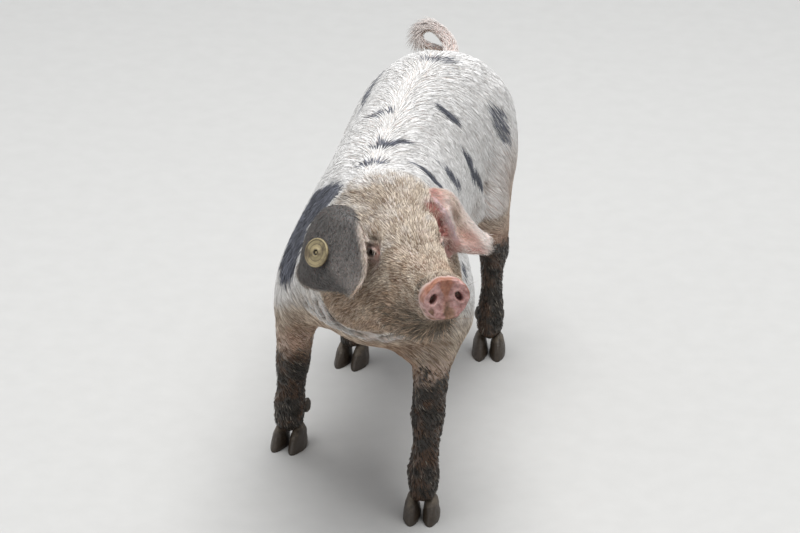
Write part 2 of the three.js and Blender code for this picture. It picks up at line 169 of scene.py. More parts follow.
def fetch(items, name, width=1, kind=float):  # one property of a mesh's items, as an array
    values = np.empty(len(items) * width, kind)
    items.foreach_get(name, values)
    return values.reshape(-1, width) if width > 1 else values


def meshPoints(mesh):
    return toPig(fetch(mesh.vertices, "co", 3))


def movePoints(mesh, points):
    mesh.vertices.foreach_set("co", toScene(points).ravel())
    mesh.update()


def meshNormals(mesh):
    return fetch(mesh.vertices, "normal", 3)


def meshEdges(mesh):
    return fetch(mesh.edges, "vertices", 2, np.int32)


def triangleCount(mesh):
    return sum(len(polygon.vertices) - 2 for polygon in mesh.polygons)


def relax(points, edges, rounds):  # each point is smoothed for its own number of rounds
    rounds = np.broadcast_to(rounds, len(points))
    a, b = edges.T
    count = len(points)
    near = np.bincount(a, minlength=count) + np.bincount(b, minlength=count)
    near = np.maximum(near, 1)
    for turn in range(int(rounds.max())):
        sums = [np.bincount(a, points[b, k], count) + np.bincount(b, points[a, k], count) for k in range(3)]
        amount = np.clip(rounds - turn, 0, 1)[:, None] * 0.5
        points = points + (np.stack(sums, axis=1) / near[:, None] - points) * amount
    return points


def putFloat(mesh, name, values):
    layer = mesh.attributes.new(name, "FLOAT", "POINT")
    layer.data.foreach_set("value", np.asarray(values, np.float32))


def newObject(name, mesh, material=None):
    piece = bpy.data.objects.new(name, mesh)
    bpy.context.scene.collection.objects.link(piece)
    if material:
        mesh.materials.append(material)
    return piece


def newMesh(name, shape):  # a finished bmesh becomes a mesh
    mesh = bpy.data.meshes.new(name)
    shape.to_mesh(mesh)
    shape.free()
    return mesh


def editMesh(mesh, change):
    shape = bmesh.new()
    shape.from_mesh(mesh)
    change(shape)
    shape.to_mesh(mesh)
    shape.free()


def weld(shape):  # the CAD's triangles are joined at their corners
    bmesh.ops.remove_doubles(shape, verts=shape.verts, dist=1e-5)


def modified(piece, kind, **settings):  # the mesh that one modifier makes of an object
    modifier = piece.modifiers.new(kind.lower(), kind)
    for name, value in settings.items():
        setattr(modifier, name, value)
    ready = piece.evaluated_get(bpy.context.evaluated_depsgraph_get())
    mesh = bpy.data.meshes.new_from_object(ready)
    piece.modifiers.clear()
    return mesh


class Shade:  # a socket in a material, with arithmetic
    def __init__(self, tree, socket=None):
        self.tree = tree
        self.socket = socket

    def node(self, kind, settings=None, sockets=None, out=0):
        made = self.tree.nodes.new(kind)
        for name, value in (settings or {}).items():
            setattr(made, name, value)
        for name, value in (sockets or {}).items():
            if isinstance(value, Shade):
                self.tree.links.new(value.socket, made.inputs[name])
            else:
                made.inputs[name].default_value = value
        return Shade(self.tree, made.outputs[out])

    def maths(self, operation, first, second):
        return self.node("ShaderNodeMath", {"operation": operation}, {0: first, 1: second})

    def __add__(self, other):
        return self.maths("ADD", self, other)

    def __mul__(self, other):
        return self.maths("MULTIPLY", self, other)

    def __sub__(self, other):
        return self.maths("SUBTRACT", self, other)

    def __rsub__(self, other):
        return self.maths("SUBTRACT", other, self)

    __radd__, __rmul__ = __add__, __mul__

    def between(self, start, end):  # 0 at start, 1 at end, eased
        sockets = {"Value": self, "From Min": start, "From Max": end}
        return self.node("ShaderNodeMapRange", {"interpolation_type": "SMOOTHSTEP"}, sockets)

    def mixed(self, first, second):  # this value mixes two colours
        first, second = ((*c, 1) if isinstance(c, tuple) else c for c in (first, second))
        return self.node("ShaderNodeMix", {"data_type": "RGBA"}, {0: self, 6: first, 7: second}, out=2)

    def value(self, name):
        return self.node("ShaderNodeAttribute", {"attribute_name": name}, out=2)

    def noise(self, scale, detail=2.0, roughness=0.5, stretch=None):
        place = self.node("ShaderNodeTexCoord", out=3)
        if stretch:
            place = self.node("ShaderNodeMapping", None, {"Vector": place, "Scale": stretch})
        sockets = {"Vector": place, "Scale": scale, "Detail": detail, "Roughness": roughness}
        return self.node("ShaderNodeTexNoise", None, sockets)

    def bump(self, height, strength, distance):
        sockets = {"Height": height, "Strength": strength, "Distance": distance}
        return self.node("ShaderNodeBump", None, sockets)


def newMaterial(name, paint, **fixed):
    made = bpy.data.materials.new(name)
    made.use_nodes = True
    shader = made.node_tree.nodes["Principled BSDF"]
    for socket, value in fixed.items():
        shader.inputs[socket.replace("_", " ")].default_value = value
    for socket, value in paint(Shade(made.node_tree)).items():
        made.node_tree.links.new(value.socket, shader.inputs[socket])
    return made


def aim(piece, way):  # turns a lamp or camera to look along a way
    piece.rotation_euler = way.to_track_quat("-Z", "Y").to_euler()
    bpy.context.scene.collection.objects.link(piece)


camera = {"aim": (71, -344, 345), "azimuth": 11, "elevation": 25, "distance": 3000, "lens": 145.8, "far": 200}
turn, lift = math.radians(camera["azimuth"]), math.radians(camera["elevation"])
back = Vector((math.sin(turn) * math.cos(lift), -math.cos(turn) * math.cos(lift), math.sin(lift)))
cameraData = bpy.data.cameras.new("camera")
cameraData.lens = camera["lens"]
cameraData.clip_end = camera["far"]
cameraObject = bpy.data.objects.new("camera", cameraData)
aimAt = Vector(toScene(np.array(camera["aim"], float)))
cameraObject.location = aimAt + back * camera["distance"] / 1000
aim(cameraObject, -back)
bpy.context.scene.camera = cameraObject
bpy.context.scene.view_settings.view_transform = "Standard"

sky = {"Color": (0.93, 0.96, 1, 1), "Strength": 0.5}
world = bpy.data.worlds.new("sky")
bpy.context.scene.world = world
world.use_nodes = True
for name, value in sky.items():
    world.node_tree.nodes["Background"].inputs[name].default_value = value

lights = {
    "overhead": {"at": (0.2, 0.1, 3.2), "size": 2.4, "power": 118},
    "side": {"at": (-2.4, -2.2, 1.6), "size": 2.2, "power": 12},
}
bodyMiddle = Vector((0, 0, 0.2))
for name, plan in lights.items():
    lamp = bpy.data.lights.new(name, "AREA")
    lamp.size = plan["size"]
    lamp.energy = plan["power"]
    lampObject = bpy.data.objects.new(name, lamp)
    lampObject.location = plan["at"]
    aim(lampObject, bodyMiddle - lampObject.location)


def floorPaint(start):
    return {"Base Color": start.noise(40, 4).mixed((0.52, 0.515, 0.50), (0.57, 0.565, 0.55))}


floorShape = bmesh.new()
bmesh.ops.create_grid(floorShape, x_segments=1, y_segments=1, size=40)
floorMaterial = newMaterial("floor", floorPaint, Roughness=0.9)
floor = newObject("floor", newMesh("floor", floorShape), floorMaterial)
print("camera, light and floor placed")

# Ear leaves: rows from the front edge to the rear edge, in the head's coordinates. faces is the
# way the side that shows looks; rises is how high over the head the leaf's skin takes over.
leaf = {"cells": (40, 56), "grow": 9.0, "paint": 10.0, "hair": 12.0}  # cells, and how far each step looks
ears = {
    "right": {
        "rows": [
            [(-35, -39, 26), (-60, -44, 21), (-76, -58, -38)],
            [(-14, -43, 27), (-46, -66, 28), (-76, -82, -42)],
            [(14, -43, 11), (-36, -84, 2), (-54, -90, -46)],
            [(28, -47, -11), (-10, -80, -16), (-30, -87, -44)],
            [(31, -60, -29), (20, -64, -30), (4, -69, -34)],
        ],
        "thick": 2.6,
        "faces": (-0.7, -0.55, 0.45),
        "rises": (2.0, 6.0),
    },
    "left": {
        "rows": [
            [(-24, 22, 34), (-60, 38, 28), (-74, 60, -30)],
            [(-12, 39, 17), (-52, 57, 28), (-74, 78, -22)],
            [(-14, 49, -12), (-54, 76, 0), (-72, 90, -26)],
            [(-36, 90, -35), (-47, 98, -33), (-59, 103, -28)],
        ],
        "thick": 3.2,
        "faces": (0.2, -0.9, 0.4),
        "rises": (1.0, 4.5),
    },
}
across, along = leaf["cells"]
for ear in ears.values():
    u = np.linspace(0, 1, across + 1)
    v = np.linspace(0, 1, along + 1)
    lines = np.array([curveThrough(fromHead(row), u) for row in ear["rows"]])
    grid = np.array([curveThrough(lines[:, i], v) for i in range(across + 1)])
    first = [i * (along + 1) + j for i in range(across) for j in range(along)]
    corners = [(k, k + along + 1, k + along + 2, k + 1) for k in first]
    ear["tree"] = BVHTree.FromPolygons(grid.reshape(-1, 3).tolist(), corners)
    ear["toTip"] = unit(np.gradient(grid, axis=1))
    normal = ear["tree"].find_nearest(grid[10, 24].tolist())[1]
    ear["seen"] = 1 if normal.dot(Vector(ear["faces"])) > 0 else -1  # which face of the leaf shows


def ridgeAt(v):  # where the left ear's ridge runs, from root to tip
    return np.interp(v, [0.18, 0.43, 0.58, 0.75], [0.15, 0.095, 0.12, 0.07])


def earRelief(side, u, v):  # ridge, hollow and rolled rims, raised towards the face that shows
    inner = ease(v, 0.04, 0.16) * ease(v, 1.0, 0.75)
    if side == "left":
        ridge = 3.4 * hump(u, ridgeAt(v), 0.035) * inner * ease(v, 0.86, 0.7)
        hollow = 3.6 * hump(u, ridgeAt(v) - 0.075, 0.045) * inner + 1.8 * hump(u, 0.24, 0.04) * inner
        rolled = 3.0 * hump(u, 0.315, 0.05) * ease(v, 0.0, 0.2) + 1.6 * ease(u, 0.9, 1.0)
        lip = 1.6 * ease(u, 0.05, 0.0) * ease(v, 0.6, 0.8)
        veins = 0.9 * hump(u, 0.52 + 0.1 * v, 0.03) + 0.7 * hump(u, 0.76, 0.03)
        hood = 4.5 * ease(u, 0.6, 0.15) * ease(v, 0.3, 0.08)
        return ridge - hollow + rolled + lip + hood + veins * inner
    veins = 0.6 * hump(u, 0.28 + 0.1 * v, 0.03) + 0.5 * hump(u, 0.62, 0.03)
    rolled = 1.7 * ease(u, 0.07, 0.0) * ease(v, 0.15, 0.4) + 0.9 * ease(u, 0.93, 1.0)
    return veins * inner + rolled - 0.8 * ease(u, 0.2, 0.08) * ease(u, 0.0, 0.08) * inner


def onLeaf(ear, points, reach):  # nearest place on an ear's leaf, with its u and v
    spot, normal = np.zeros((len(points), 3)), np.zeros((len(points), 3))
    far = np.full(len(points), 1e3)
    face = np.zeros(len(points), int)
    for i, point in enumerate(points):
        hit = ear["tree"].find_nearest(point.tolist(), reach)
        if hit[0] is not None:
            spot[i], normal[i], face[i], far[i] = hit
    row, column = face // along, face % along
    place = {"u": (row + 0.5) / across, "v": (column + 0.5) / along, "toTip": ear["toTip"][row, column]}
    return {"spot": spot, "normal": normal, "far": far, **place}


# Skin: the flesh nodes made one, smoothed, drawn in by the coat's depth and sculpted.
skin = {
    "voxel": 2.9,
    "grow": 1.2,  # closes the cuts between the nodes
    "growEar": 2.3,
    "smooth": {"trunk": 34, "head": 12, "snout": 4, "leg": 12, "tail": 2},
    "coat": {"trunk": 3.2, "head": 1.7, "leg": 1.8, "tail": 0.2, "foot": 0.8},
    "nearEar": 8.5,
    "triangles": 196000,
}
fleshNodes = ["head", "lower_jaw", "snout", "neck", "chest", "belly", "rump", "tail"]
legNames = ["fore_right", "fore_left", "hind_right", "hind_left"]
fleshNodes += [f"{leg}_{part}" for leg in legNames for part in ("upper", "lower")]
earNodes = ["ear_right", "ear_left"]
tailLine = [
    (10, 212, 320), (15, 238, 333), (4, 249, 348), (-12, 253, 355),
    (-24, 250, 348), (-21, 247, 338), (-8, 249, 332), (4, 254, 328),
]
tailCurve = curveThrough(tailLine, np.linspace(0, 1, 40))
legFeet = {
    "fore_right": (-100, -79), "fore_left": (66, -200),
    "hind_right": (-75, 127), "hind_left": (71, 178),
}


def fleshCopy(name, grow):
    shape = bmesh.new()
    shape.from_mesh(nodes[name].data)
    weld(shape)
    shape.normal_update()
    moves = [vertex.normal * grow / 1000 for vertex in shape.verts]
    for vertex, move in zip(shape.verts, moves):
        vertex.co += move
    return shape


gathered = bmesh.new()
for name in fleshNodes + earNodes + ["eye_right", "eye_left"]:  # the lids grow over the eyes
    part = newMesh(name + "_copy", fleshCopy(name, skin["growEar"] if name in earNodes else skin["grow"]))
    gathered.from_mesh(part)
    bpy.data.meshes.remove(part)
rough = newObject("roughSkin", newMesh("roughSkin", gathered))
skinMesh = modified(rough, "REMESH", mode="VOXEL", voxel_size=skin["voxel"] / 1000)
bpy.data.objects.remove(rough)
print("skin remeshed:", len(skinMesh.polygons), "faces")


def masks(points):  # how far each point belongs to the parts of the body
    head = toHead(points)
    inHead = ease(head[:, 0], -98, -62) * ease(head[:, 2], -128, -104)
    inTail = ease(alongLine(points, tailCurve[4:])[0], 15, 10)
    inLeg = ease(points[:, 2], 185, 140) * (1 - inHead)
    return {
        "headPoints": head,
        "head": inHead,
        "snout": ease(head[:, 0], 92, 104) * inHead,
        "tail": inTail,
        "leg": inLeg * (1 - inTail),
        "foot": ease(points[:, 2], 45, 25),
    }


def blend(plan, where):  # one setting's value at each point
    value = plan["trunk"] + (plan["leg"] - plan["trunk"]) * where["leg"]
    value = value + (plan["head"] - value) * where["head"]
    value = value + (plan.get("snout", 0) - value) * where["snout"]
    value = value + (plan.get("foot", value) - value) * where["foot"]
    return value + (plan["tail"] - value) * where["tail"]


bodyTrees = []
for name in ("head", "neck", "chest", "lower_jaw"):
    shape = fleshCopy(name, 0)
    bodyTrees.append(BVHTree.FromBMesh(shape))
    shape.free()


def offBody(points):  # height above the flesh of the head and neck
    best = np.full(len(points), 1e3)
    for tree in bodyTrees:
        for i, point in enumerate(toScene(points)):
            hit = tree.find_nearest(Vector(point), 0.04)
            if hit[0] is None:
                continue
            height = (Vector(point) - hit[0]).dot(hit[1])
            far = hit[3] if height > 0 else -hit[3]
            best[i] = min(best[i], far * 1000)
    return best


points, edges = meshPoints(skinMesh), meshEdges(skinMesh)
earFit = {}
onEar = np.zeros(len(points))
for side, ear in ears.items():
    fit = onLeaf(ear, points, leaf["grow"])
    close = fit["far"] < skin["nearEar"]
    height = np.full(len(points), -1.0)
    height[close] = offBody(points[close])
    fit["weight"] = ease(height, *ear["rises"]) * close
    earFit[side] = fit
    onEar = np.maximum(onEar, fit["weight"])
where = masks(points)
rounds = blend(skin["smooth"], where)
rounds = rounds + (3 - rounds) * onEar
points = relax(points, edges, rounds)
movePoints(skinMesh, points)
depth = blend(skin["coat"], where) + skin["grow"]
points = points - meshNormals(skinMesh) * (depth * (1 - onEar))[:, None]
for side, ear in ears.items():
    fit = earFit[side]
    gap = points - fit["spot"]
    lean = np.sum(gap * fit["normal"], axis=1)
    beyond = norm(gap - lean[:, None] * fit["normal"])
    thick = ear["thick"] * (1.25 - 0.55 * fit["v"]) / 2
    relief = earRelief(side, fit["u"], fit["v"]) + cloud(points, 22, 17) * 0.7
    spot = fit["spot"] + fit["normal"] * (ear["seen"] * relief)[:, None]
    flat = spot + fit["normal"] * (np.sign(lean) * thick)[:, None]
    rim = spot + unit(gap) * (thick * 0.9)[:, None]
    shaped = np.where((beyond > 0.3)[:, None], rim, flat)
    points = points + (shaped - points) * fit["weight"][:, None]
points = relax(points, edges, onEar * 2)
movePoints(skinMesh, points)
putFloat(skinMesh, "onEar", onEar)
print("skin smoothed")


def subdivide(mesh, chosen):  # splits the chosen faces in four
    def split(shape):
        shape.faces.ensure_lookup_table()
        ring = {edge for i in np.flatnonzero(chosen) for edge in shape.faces[i].edges}
        bmesh.ops.subdivide_edges(shape, edges=list(ring), cuts=1, use_grid_fill=True)

    editMesh(mesh, split)


def faceMiddles(mesh):
    return toHead(toPig(fetch(mesh.polygons, "center", 3)))


s, t, v = faceMiddles(skinMesh).T
jowl = (s > -160) & (s < -84) & (np.abs(v + 115) < 26) & (t < 0)
subdivide(skinMesh, (s > -84) & (v > -110) & (np.abs(t) < 112) | jowl)
eyePlan = {
    "radius": 9.2,
    "at": [(-3, -27.6, 0), (-3, 27.6, 0)],
    "turnOut": 58,  # the eye looks this far out from straight ahead
    "up": 4,
    "slit": 6.2,  # half its width
    "open": (2.7, 2.1),  # upper and lower lid from the middle
    "lid": 1.3,
    "sag": 0.16,  # the inner corner sits lower by this turn
    "reach": 26,
    "fine": 25,
    "corneaFrom": 0.72,
    "corneaRise": 0.9,
}
discPlan = {
    "at": (124, 1.5, 1.0),
    "tilt": 12,
    "nostril": 12.4,
    "nostrilUp": 2.8,
    "nostrilLean": 0.55,  # the upper end of each nostril leans inwards
    "nostrilSize": (3.2, 5.1),
    "nostrilDepth": 11,
    "outline": [  # degrees round from the pig's left, and the radius there
        (-180, 24.6), (-160, 24.2), (-142, 23.3), (-119, 20.8), (-104, 18.2), (-90, 17.6), (-76, 18.8),
        (-48, 22.3), (-30, 22.8), (-9, 23.0), (19, 23.5), (48, 24.3), (81, 25.0), (102, 23.4),
        (127, 20.9), (153, 21.9), (180, 24.6),
    ],
}
face = faceMiddles(skinMesh)
s, t, v = face.T
fine = (s > 96) | (s > 28) & (v < -14) & (v > -40)  # the snout and the mouth
for centre in eyePlan["at"]:
    fine |= norm(face - np.array(centre)) < eyePlan["fine"]
subdivide(skinMesh, fine)
points, edges = meshPoints(skinMesh), meshEdges(skinMesh)
s, t, v = toHead(points).T
points = relax(points, edges, ease(s, -60, -40) * 3 * ease(v, -118, -100))
movePoints(skinMesh, points)
print("skin refined:", len(skinMesh.polygons), "faces")

# The snout's disc is pressed flat, with a raised rim and open nostrils.
tilt = math.radians(discPlan["tilt"])
cos, sin = math.cos(tilt), math.sin(tilt)
discAxes = np.array([[cos, 0, sin], [0, 1, 0], [-sin, 0, cos]])
discAt = np.array(discPlan["at"])


def toDisc(head):
    return (head - discAt) @ discAxes.T


def discEdge(angle):
    turns, radii = zip(*discPlan["outline"])
    return np.interp(np.degrees(angle), turns, radii)


def nostrilAt(x, y):  # 1 at the rim of the nearer nostril, 0 in its middle
    side = np.where(x < 0, -1, 1)
    dx = (x - side * discPlan["nostril"]) * side
    dy = y - discPlan["nostrilUp"]
    cos, sin = math.cos(discPlan["nostrilLean"]), math.sin(discPlan["nostrilLean"])
    wide, tall = discPlan["nostrilSize"]
    return np.hypot((dx * cos + dy * sin) / wide, (dy * cos - dx * sin) / tall)


def sculptDisc(head):
    depth, x, y = toDisc(head).T
    far = np.hypot(x, y)
    edge = discEdge(np.arctan2(y, x))
    inside = far / edge
    front = ease(depth, -11, -4)
    rim = 1.2 * hump(inside, 0.9, 0.12) * (1 + 0.35 * cloud(head, 5, 61))
    dish = -1.2 * ease(inside, 0.85, 0.2) + rim
    groove = -1.6 * hump(x, 0.5, 2.2) * ease(y, 2, -8) * ease(y, -22, -15)
    hole = nostrilAt(x, y)
    ring = 0.9 * hump(hole, 1.4, 0.3)
    pit = -discPlan["nostrilDepth"] * ease(hole, 1.12, 0.5)
    onFace = front * ease(inside, 1.04, 0.94)
    ridged = 0.5 * cloud(head, 4, 62) + 0.3 * cloud(head, 1.8, 63)
    depth = depth + (dish + groove + ridged + pit + ring - depth) * onFace
    scale = np.where(far > 1e-6, edge / np.maximum(far, 1e-6), 1)
    collar = front * ease(inside, 0.86, 1.0) * ease(inside, 1.35, 1.05)
    pull = 1 + (scale * 0.985 - 1) * collar * 0.75
    return np.stack([depth, x * pull, y * pull], axis=1) @ discAxes + discAt


onEar = fetch(skinMesh.attributes["onEar"].data, "value")
head = toHead(points)
snoutPoints = head[:, 0] > 100
head[snoutPoints] = sculptDisc(head[snoutPoints])


# Lids: the skin is laid over each eyeball, with an almond slit that ends behind the ball.
def eyeFrame(side):
    out, up = math.radians(eyePlan["turnOut"]) * side, math.radians(eyePlan["up"])
    look = np.array([math.cos(out) * math.cos(up), math.sin(out) * math.cos(up), math.sin(up)])
    level = unit(np.cross(look, [0, 0, 1.0])) * side  # towards the snout
    return look, level, np.cross(level, look) * side


def slitGap(x, y):  # distance outside the opening, negative inside
    out = np.clip(np.abs(x) / eyePlan["slit"], 0, 1.6)
    top, low = eyePlan["open"][0] * (1 - out**2.2), -eyePlan["open"][1] * (1 - out**1.8)
    return np.maximum(np.maximum(y - top, low - y), np.abs(x) - eyePlan["slit"])


ball = eyePlan["radius"]
eyeCentres = [np.array(centre, float) for centre in eyePlan["at"]]
lidGap = np.full(len(head), 1e3)  # distance outside the nearer eye's opening
cover = np.zeros(len(head))  # least distance from that eye's centre
corner = np.full(len(head), 1e3)  # distance from the inner corner of the eye
for side, centre in zip((-1, 1), eyeCentres):
    look, level, upward = eyeFrame(side)
    gap = head - centre
    far = norm(gap)
    way = unit(gap)
    x, y, z = way @ level * ball, way @ upward * ball, way @ look
    x = x * np.cos(eyePlan["sag"]) + y * np.sin(eyePlan["sag"])
    outside = slitGap(x, y)
    around = (far < eyePlan["reach"]) & (z > -0.2) & (onEar < 0.3)
    lid = ball + eyePlan["lid"] * ease(outside, -0.4, 0.5) + 0.9 * hump(outside, 1.3, 0.9)
    lid = lid - 0.7 * hump(outside, 3.6, 0.8) * (y > 0)
    drawn = ease(z, 0.1, 0.45) * ease(outside, 9.0, 2.6)
    bag = 0.7 * ease(z, 0.0, 0.4) * hump(outside, 7, 1.6)
    free = np.where(far > lid, far + (lid - far) * drawn, far) - bag
    least = far + (lid - far) * ease(z, -0.1, 0.2)
    shaped = np.maximum(free, np.where(far < lid, least, np.minimum(free, lid)))
    opening = around & (outside < -0.3) & (z > 0.2)
    shaped = np.where(opening, ball - 1.2, shaped)
    head = head + way * ((shaped - far) * around)[:, None]
    lidGap = np.where(around & (outside < lidGap) & (z > 0.1), outside, lidGap)
    cover = np.where(around & ~opening & (z > 0), ball + 0.7, cover)
    corner = np.where(around, np.hypot(x - eyePlan["slit"] - 0.6, y + 1.0), corner)
soft = 2.5 * ease(lidGap, 2.4, 4.0) * (lidGap < 16)
head = toHead(relax(fromHead(head), edges, soft))
for centre in eyeCentres:  # the lids stay outside the eyeballs
    gap = head - centre
    far = norm(gap)
    short = (cover > 0) & (far < cover)
    head[short] += gap[short] * (cover[short] / far[short] - 1)[:, None]
points = fromHead(head)
movePoints(skinMesh, points)
print("snout and lids sculpted")

# Creases: lines in the pig's coordinates, with width, depth and the swelling beside them.
creases = []


def addCrease(line, wide, deep, swell=0, fold=False):
    creases.append({"line": line, "wide": wide, "deep": deep, "swell": swell, "fold": fold})


mouthLine = [(112, -9, -22), (100, -19, -25), (84, -27, -28), (64, -34, -31), (44, -40, -30), (33, -44, -27)]
for mirror in (1, -1):
    addCrease(fromHead(np.array(mouthLine) * (1, mirror, 1)), wide=1.5, deep=2.6, swell=0.9)
throat = [  # folds between the jowl and the neck
    [
        (-58, -179, 217), (-49, -189, 216), (-39, -198, 213),
        (-27, -208, 213), (-12, -212, 208), (6, -212, 202),
    ],
    [(-44, -204, 233), (-39, -205, 223), (-28, -208, 215), (-16, -211, 211)],
    [(-33, -217, 240), (-29, -217, 231), (-24, -214, 221), (-16, -212, 214)],
    [(58, -196, 224), (44, -204, 212), (26, -209, 203)],
]
for line in throat:
    addCrease(line, wide=2.4, deep=4.8, swell=2.0, fold=True)
for x, y in ((-1, -128), (1, -142)):  # folds before and behind the elbows
    line = [(x * 62 + 4, y + 44, 196), (x * 70 + 4, y + 40, 176), (x * 60, y + 30, 158)]
    addCrease(line, wide=5, deep=3.0, swell=1.5)
for x in (-1, 1):  # fold of the flank before the thigh
    line = [(x * 72 + 6, 92, 250), (x * 70 + 6, 96, 215), (x * 56 + 6, 92, 186)]
    addCrease(line, wide=7, deep=3.4, swell=1.0)
for step in range(4):  # wrinkles over the bridge of the snout
    s = 101 - step * 5.5
    line = fromHead([(s - 4, -15, 12), (s, 0, 19), (s - 4, 15, 12)])
    addCrease(line, wide=1.3, deep=0.7 - step * 0.12, swell=0.4)
for mirror in (1, -1):  # brow and the corner below the eye
    line = fromHead([(8, 30 * mirror, 15), (-4, 38 * mirror, 14), (-14, 42 * mirror, 9)])
    addCrease(line, wide=1.6, deep=0.9, swell=0.7)
    line = fromHead([(10, 26 * mirror, -9), (2, 36 * mirror, -13), (-9, 41 * mirror, -11)])
    addCrease(line, wide=1.6, deep=0.8, swell=0.6)
line = fromHead([(36, 22, 14), (22, 26, 12), (8, 30, 9)])  # shows more of the far eye
addCrease(line, wide=6, deep=1.8)
earHollow = np.array([(87, -258, 368), (94, -262, 364), (99, -263, 357), (100, -261, 350)], float)
earLobe = np.array([(98, -259, 345), (100, -258, 336), (105, -253, 327)], float)
addCrease(earHollow, wide=9, deep=3.6, swell=1.2)
addCrease(earLobe, wide=6, deep=-4.0)
creaseShade = np.zeros(len(points))
normals = meshNormals(skinMesh)
whole = BVHTree.FromPolygons(points.tolist(), [tuple(polygon.vertices) for polygon in skinMesh.polygons])
folds, foldFloors = [], []
for crease in creases:
    line = curveThrough(crease["line"], np.linspace(0, 1, 14))
    hits = [whole.find_nearest(spot) for spot in line.tolist()]
    line = np.array([hit[0] for hit in hits])
    if crease["fold"]:  # where it lies on the skin, and its floor
        folds.append(line)
        foldFloors.append(line - np.array([hit[1] for hit in hits]) * crease["deep"] * 0.85)
    near = np.flatnonzero(np.all((points > line.min(0) - 25) & (points < line.max(0) + 25), axis=1))
    far, t = alongLine(points[near], line)
    fade = ease(t, 0, 0.15) * ease(t, 1, 0.85)
    dip = hump(far, 0, crease["wide"]) * fade
    swell = hump(far, 2.2 * crease["wide"], crease["wide"]) * fade
    points[near] += normals[near] * (swell * crease["swell"] - dip * crease["deep"])[:, None]
    # the narrow creases are painted dark by their depth: painted shade
    if crease["wide"] < 6:
        creaseShade[near] = np.maximum(creaseShade[near], dip * np.clip(crease["deep"] / 2, 0, 1))

lumps = cloud(points, 26, 5) * 0.7 + cloud(points, 11, 6) * 0.35
lumps = lumps * (1 - masks(points)["head"] * 0.6) * (1 - onEar * 0.6)
points = points + normals * lumps[:, None] * 0.6
wet = ease(points[:, 2], 120, 60) * ease(points[:, 2], 10, 24)
clots = np.maximum(cloud(points, 7, 8) + cloud(points, 3.5, 9) * 0.5 - 0.25, 0)
points = points + normals * (wet * clots * 1.6)[:, None]
movePoints(skinMesh, points)

# Markings, mud and colours: one set of masks for the skin and the coat.
marks = [  # the middle of each dark mark, its half width along it, and its strength
    ([(-5, 131, 364), (10, 140, 363), (24, 143, 362), (34, 146, 359)], (3, 10, 13, 6), 0.54),
    ([(80, 132, 312), (87, 135, 298), (93, 137, 283)], (10, 18, 12), 0.58),
    ([(-42, 148, 341), (-51, 116, 333), (-49, 60, 338), (-45, 27, 342)], (7, 11, 7, 3), 0.6),
    ([(-26, -26, 359), (-14, -21, 364), (-3, -18, 366)], (2, 7, 6), 1),
    ([(1, -113, 367), (8, -110, 367), (18, -98, 366), (32, -78, 361)], (5, 8, 5, 1.5), 1),
    ([(6, -106, 367), (2, -88, 367)], (5, 1), 1),
    ([(-10, -166, 366), (4, -158, 369), (14, -156, 370), (25, -166, 371)], (3, 6, 6, 2), 1),
    ([(-10, -166, 366), (-24, -161, 356), (-30, -164, 352)], (3, 2, 4), 1),
    ([(36, 31, 356), (47, 35, 345), (58, 47, 333)], (4, 9, 4), 1),
    ([(43, -134, 360), (58, -126, 348), (69, -118, 330)], (2, 6, 3), 1),
    ([(58, -74, 339), (67, -50, 316), (73, -24, 291)], (2, 7, 3), 1),
    ([(65, 18, 318), (73, 41, 286), (79, 85, 242)], (3, 8, 3), 1),
    ([(92, -134, 268), (95, -136, 258), (97, -142, 250)], (2, 3.5, 2), 1),
    ([(-15, -220, 363), (-36, -177, 336), (-58, -149, 311), (-67, -153, 291), (-78, -151, 267),
      (-83, -155, 244)], (9, 18, 21, 25, 24, 15), 1),
    ([(-56, -188, 233), (-60, -183, 228)], (3, 2.5), 1),
    ([(-30, 190, 250), (-60, 180, 230)], (9, 3), 1),
]
mudPlan = {
    "line": {"fore_right": 122, "fore_left": 138, "hind_right": 126, "hind_left": 136},
    "reach": 95,  # how far from each foot's upright
    "edge": (38, -26),  # where the mud's edge fades, above and below the line
    "damp": (85, 5),  # and the damp above it
    "splash": 0.6,
}
tints = {  # how much of each tint, over the whole body and then in each region
    "tan": {"all": 0.04, "low": 0.26, "under": 0.35, "brisket": 0.14, "damp": 0.36},
    "face": {"all": 0.36, "behindEyes": 0.12, "snout": 0.13, "jaw": 0.37, "soft": 0.1},
    "blush": {"all": 0.06, "ham": 0.40, "leg": 0.06, "tail": 0.42, "under": 0.15},
}


def bodyMarks(points):  # the head carries none
    ragged = cloud(points, 9, 3) * 3.2 + cloud(points, 3.2, 4) * 1.8
    value = np.zeros(len(points))
    for line, wide, strength in marks:
        far, t = alongLine(points, line)
        wide = np.interp(t, np.linspace(0, 1, len(wide)), wide)
        value = np.maximum(value, ease(far + ragged - wide, 4.5, -3.5) * strength)
    where = masks(points)
    return value * (1 - 0.9 * ease(where["headPoints"][:, 0], -84, -70) * where["head"])


# painted shade along the throat's folds and their floors
def foldShade(points):
    return 0.98 * ease(nearLines(points, folds + foldFloors), 3.7, 2.2)


def tinted(name, regions):
    total = tints[name]["all"]
    for region, amount in tints[name].items():
        if region != "all":
            total = total + amount * regions[region]
    return total


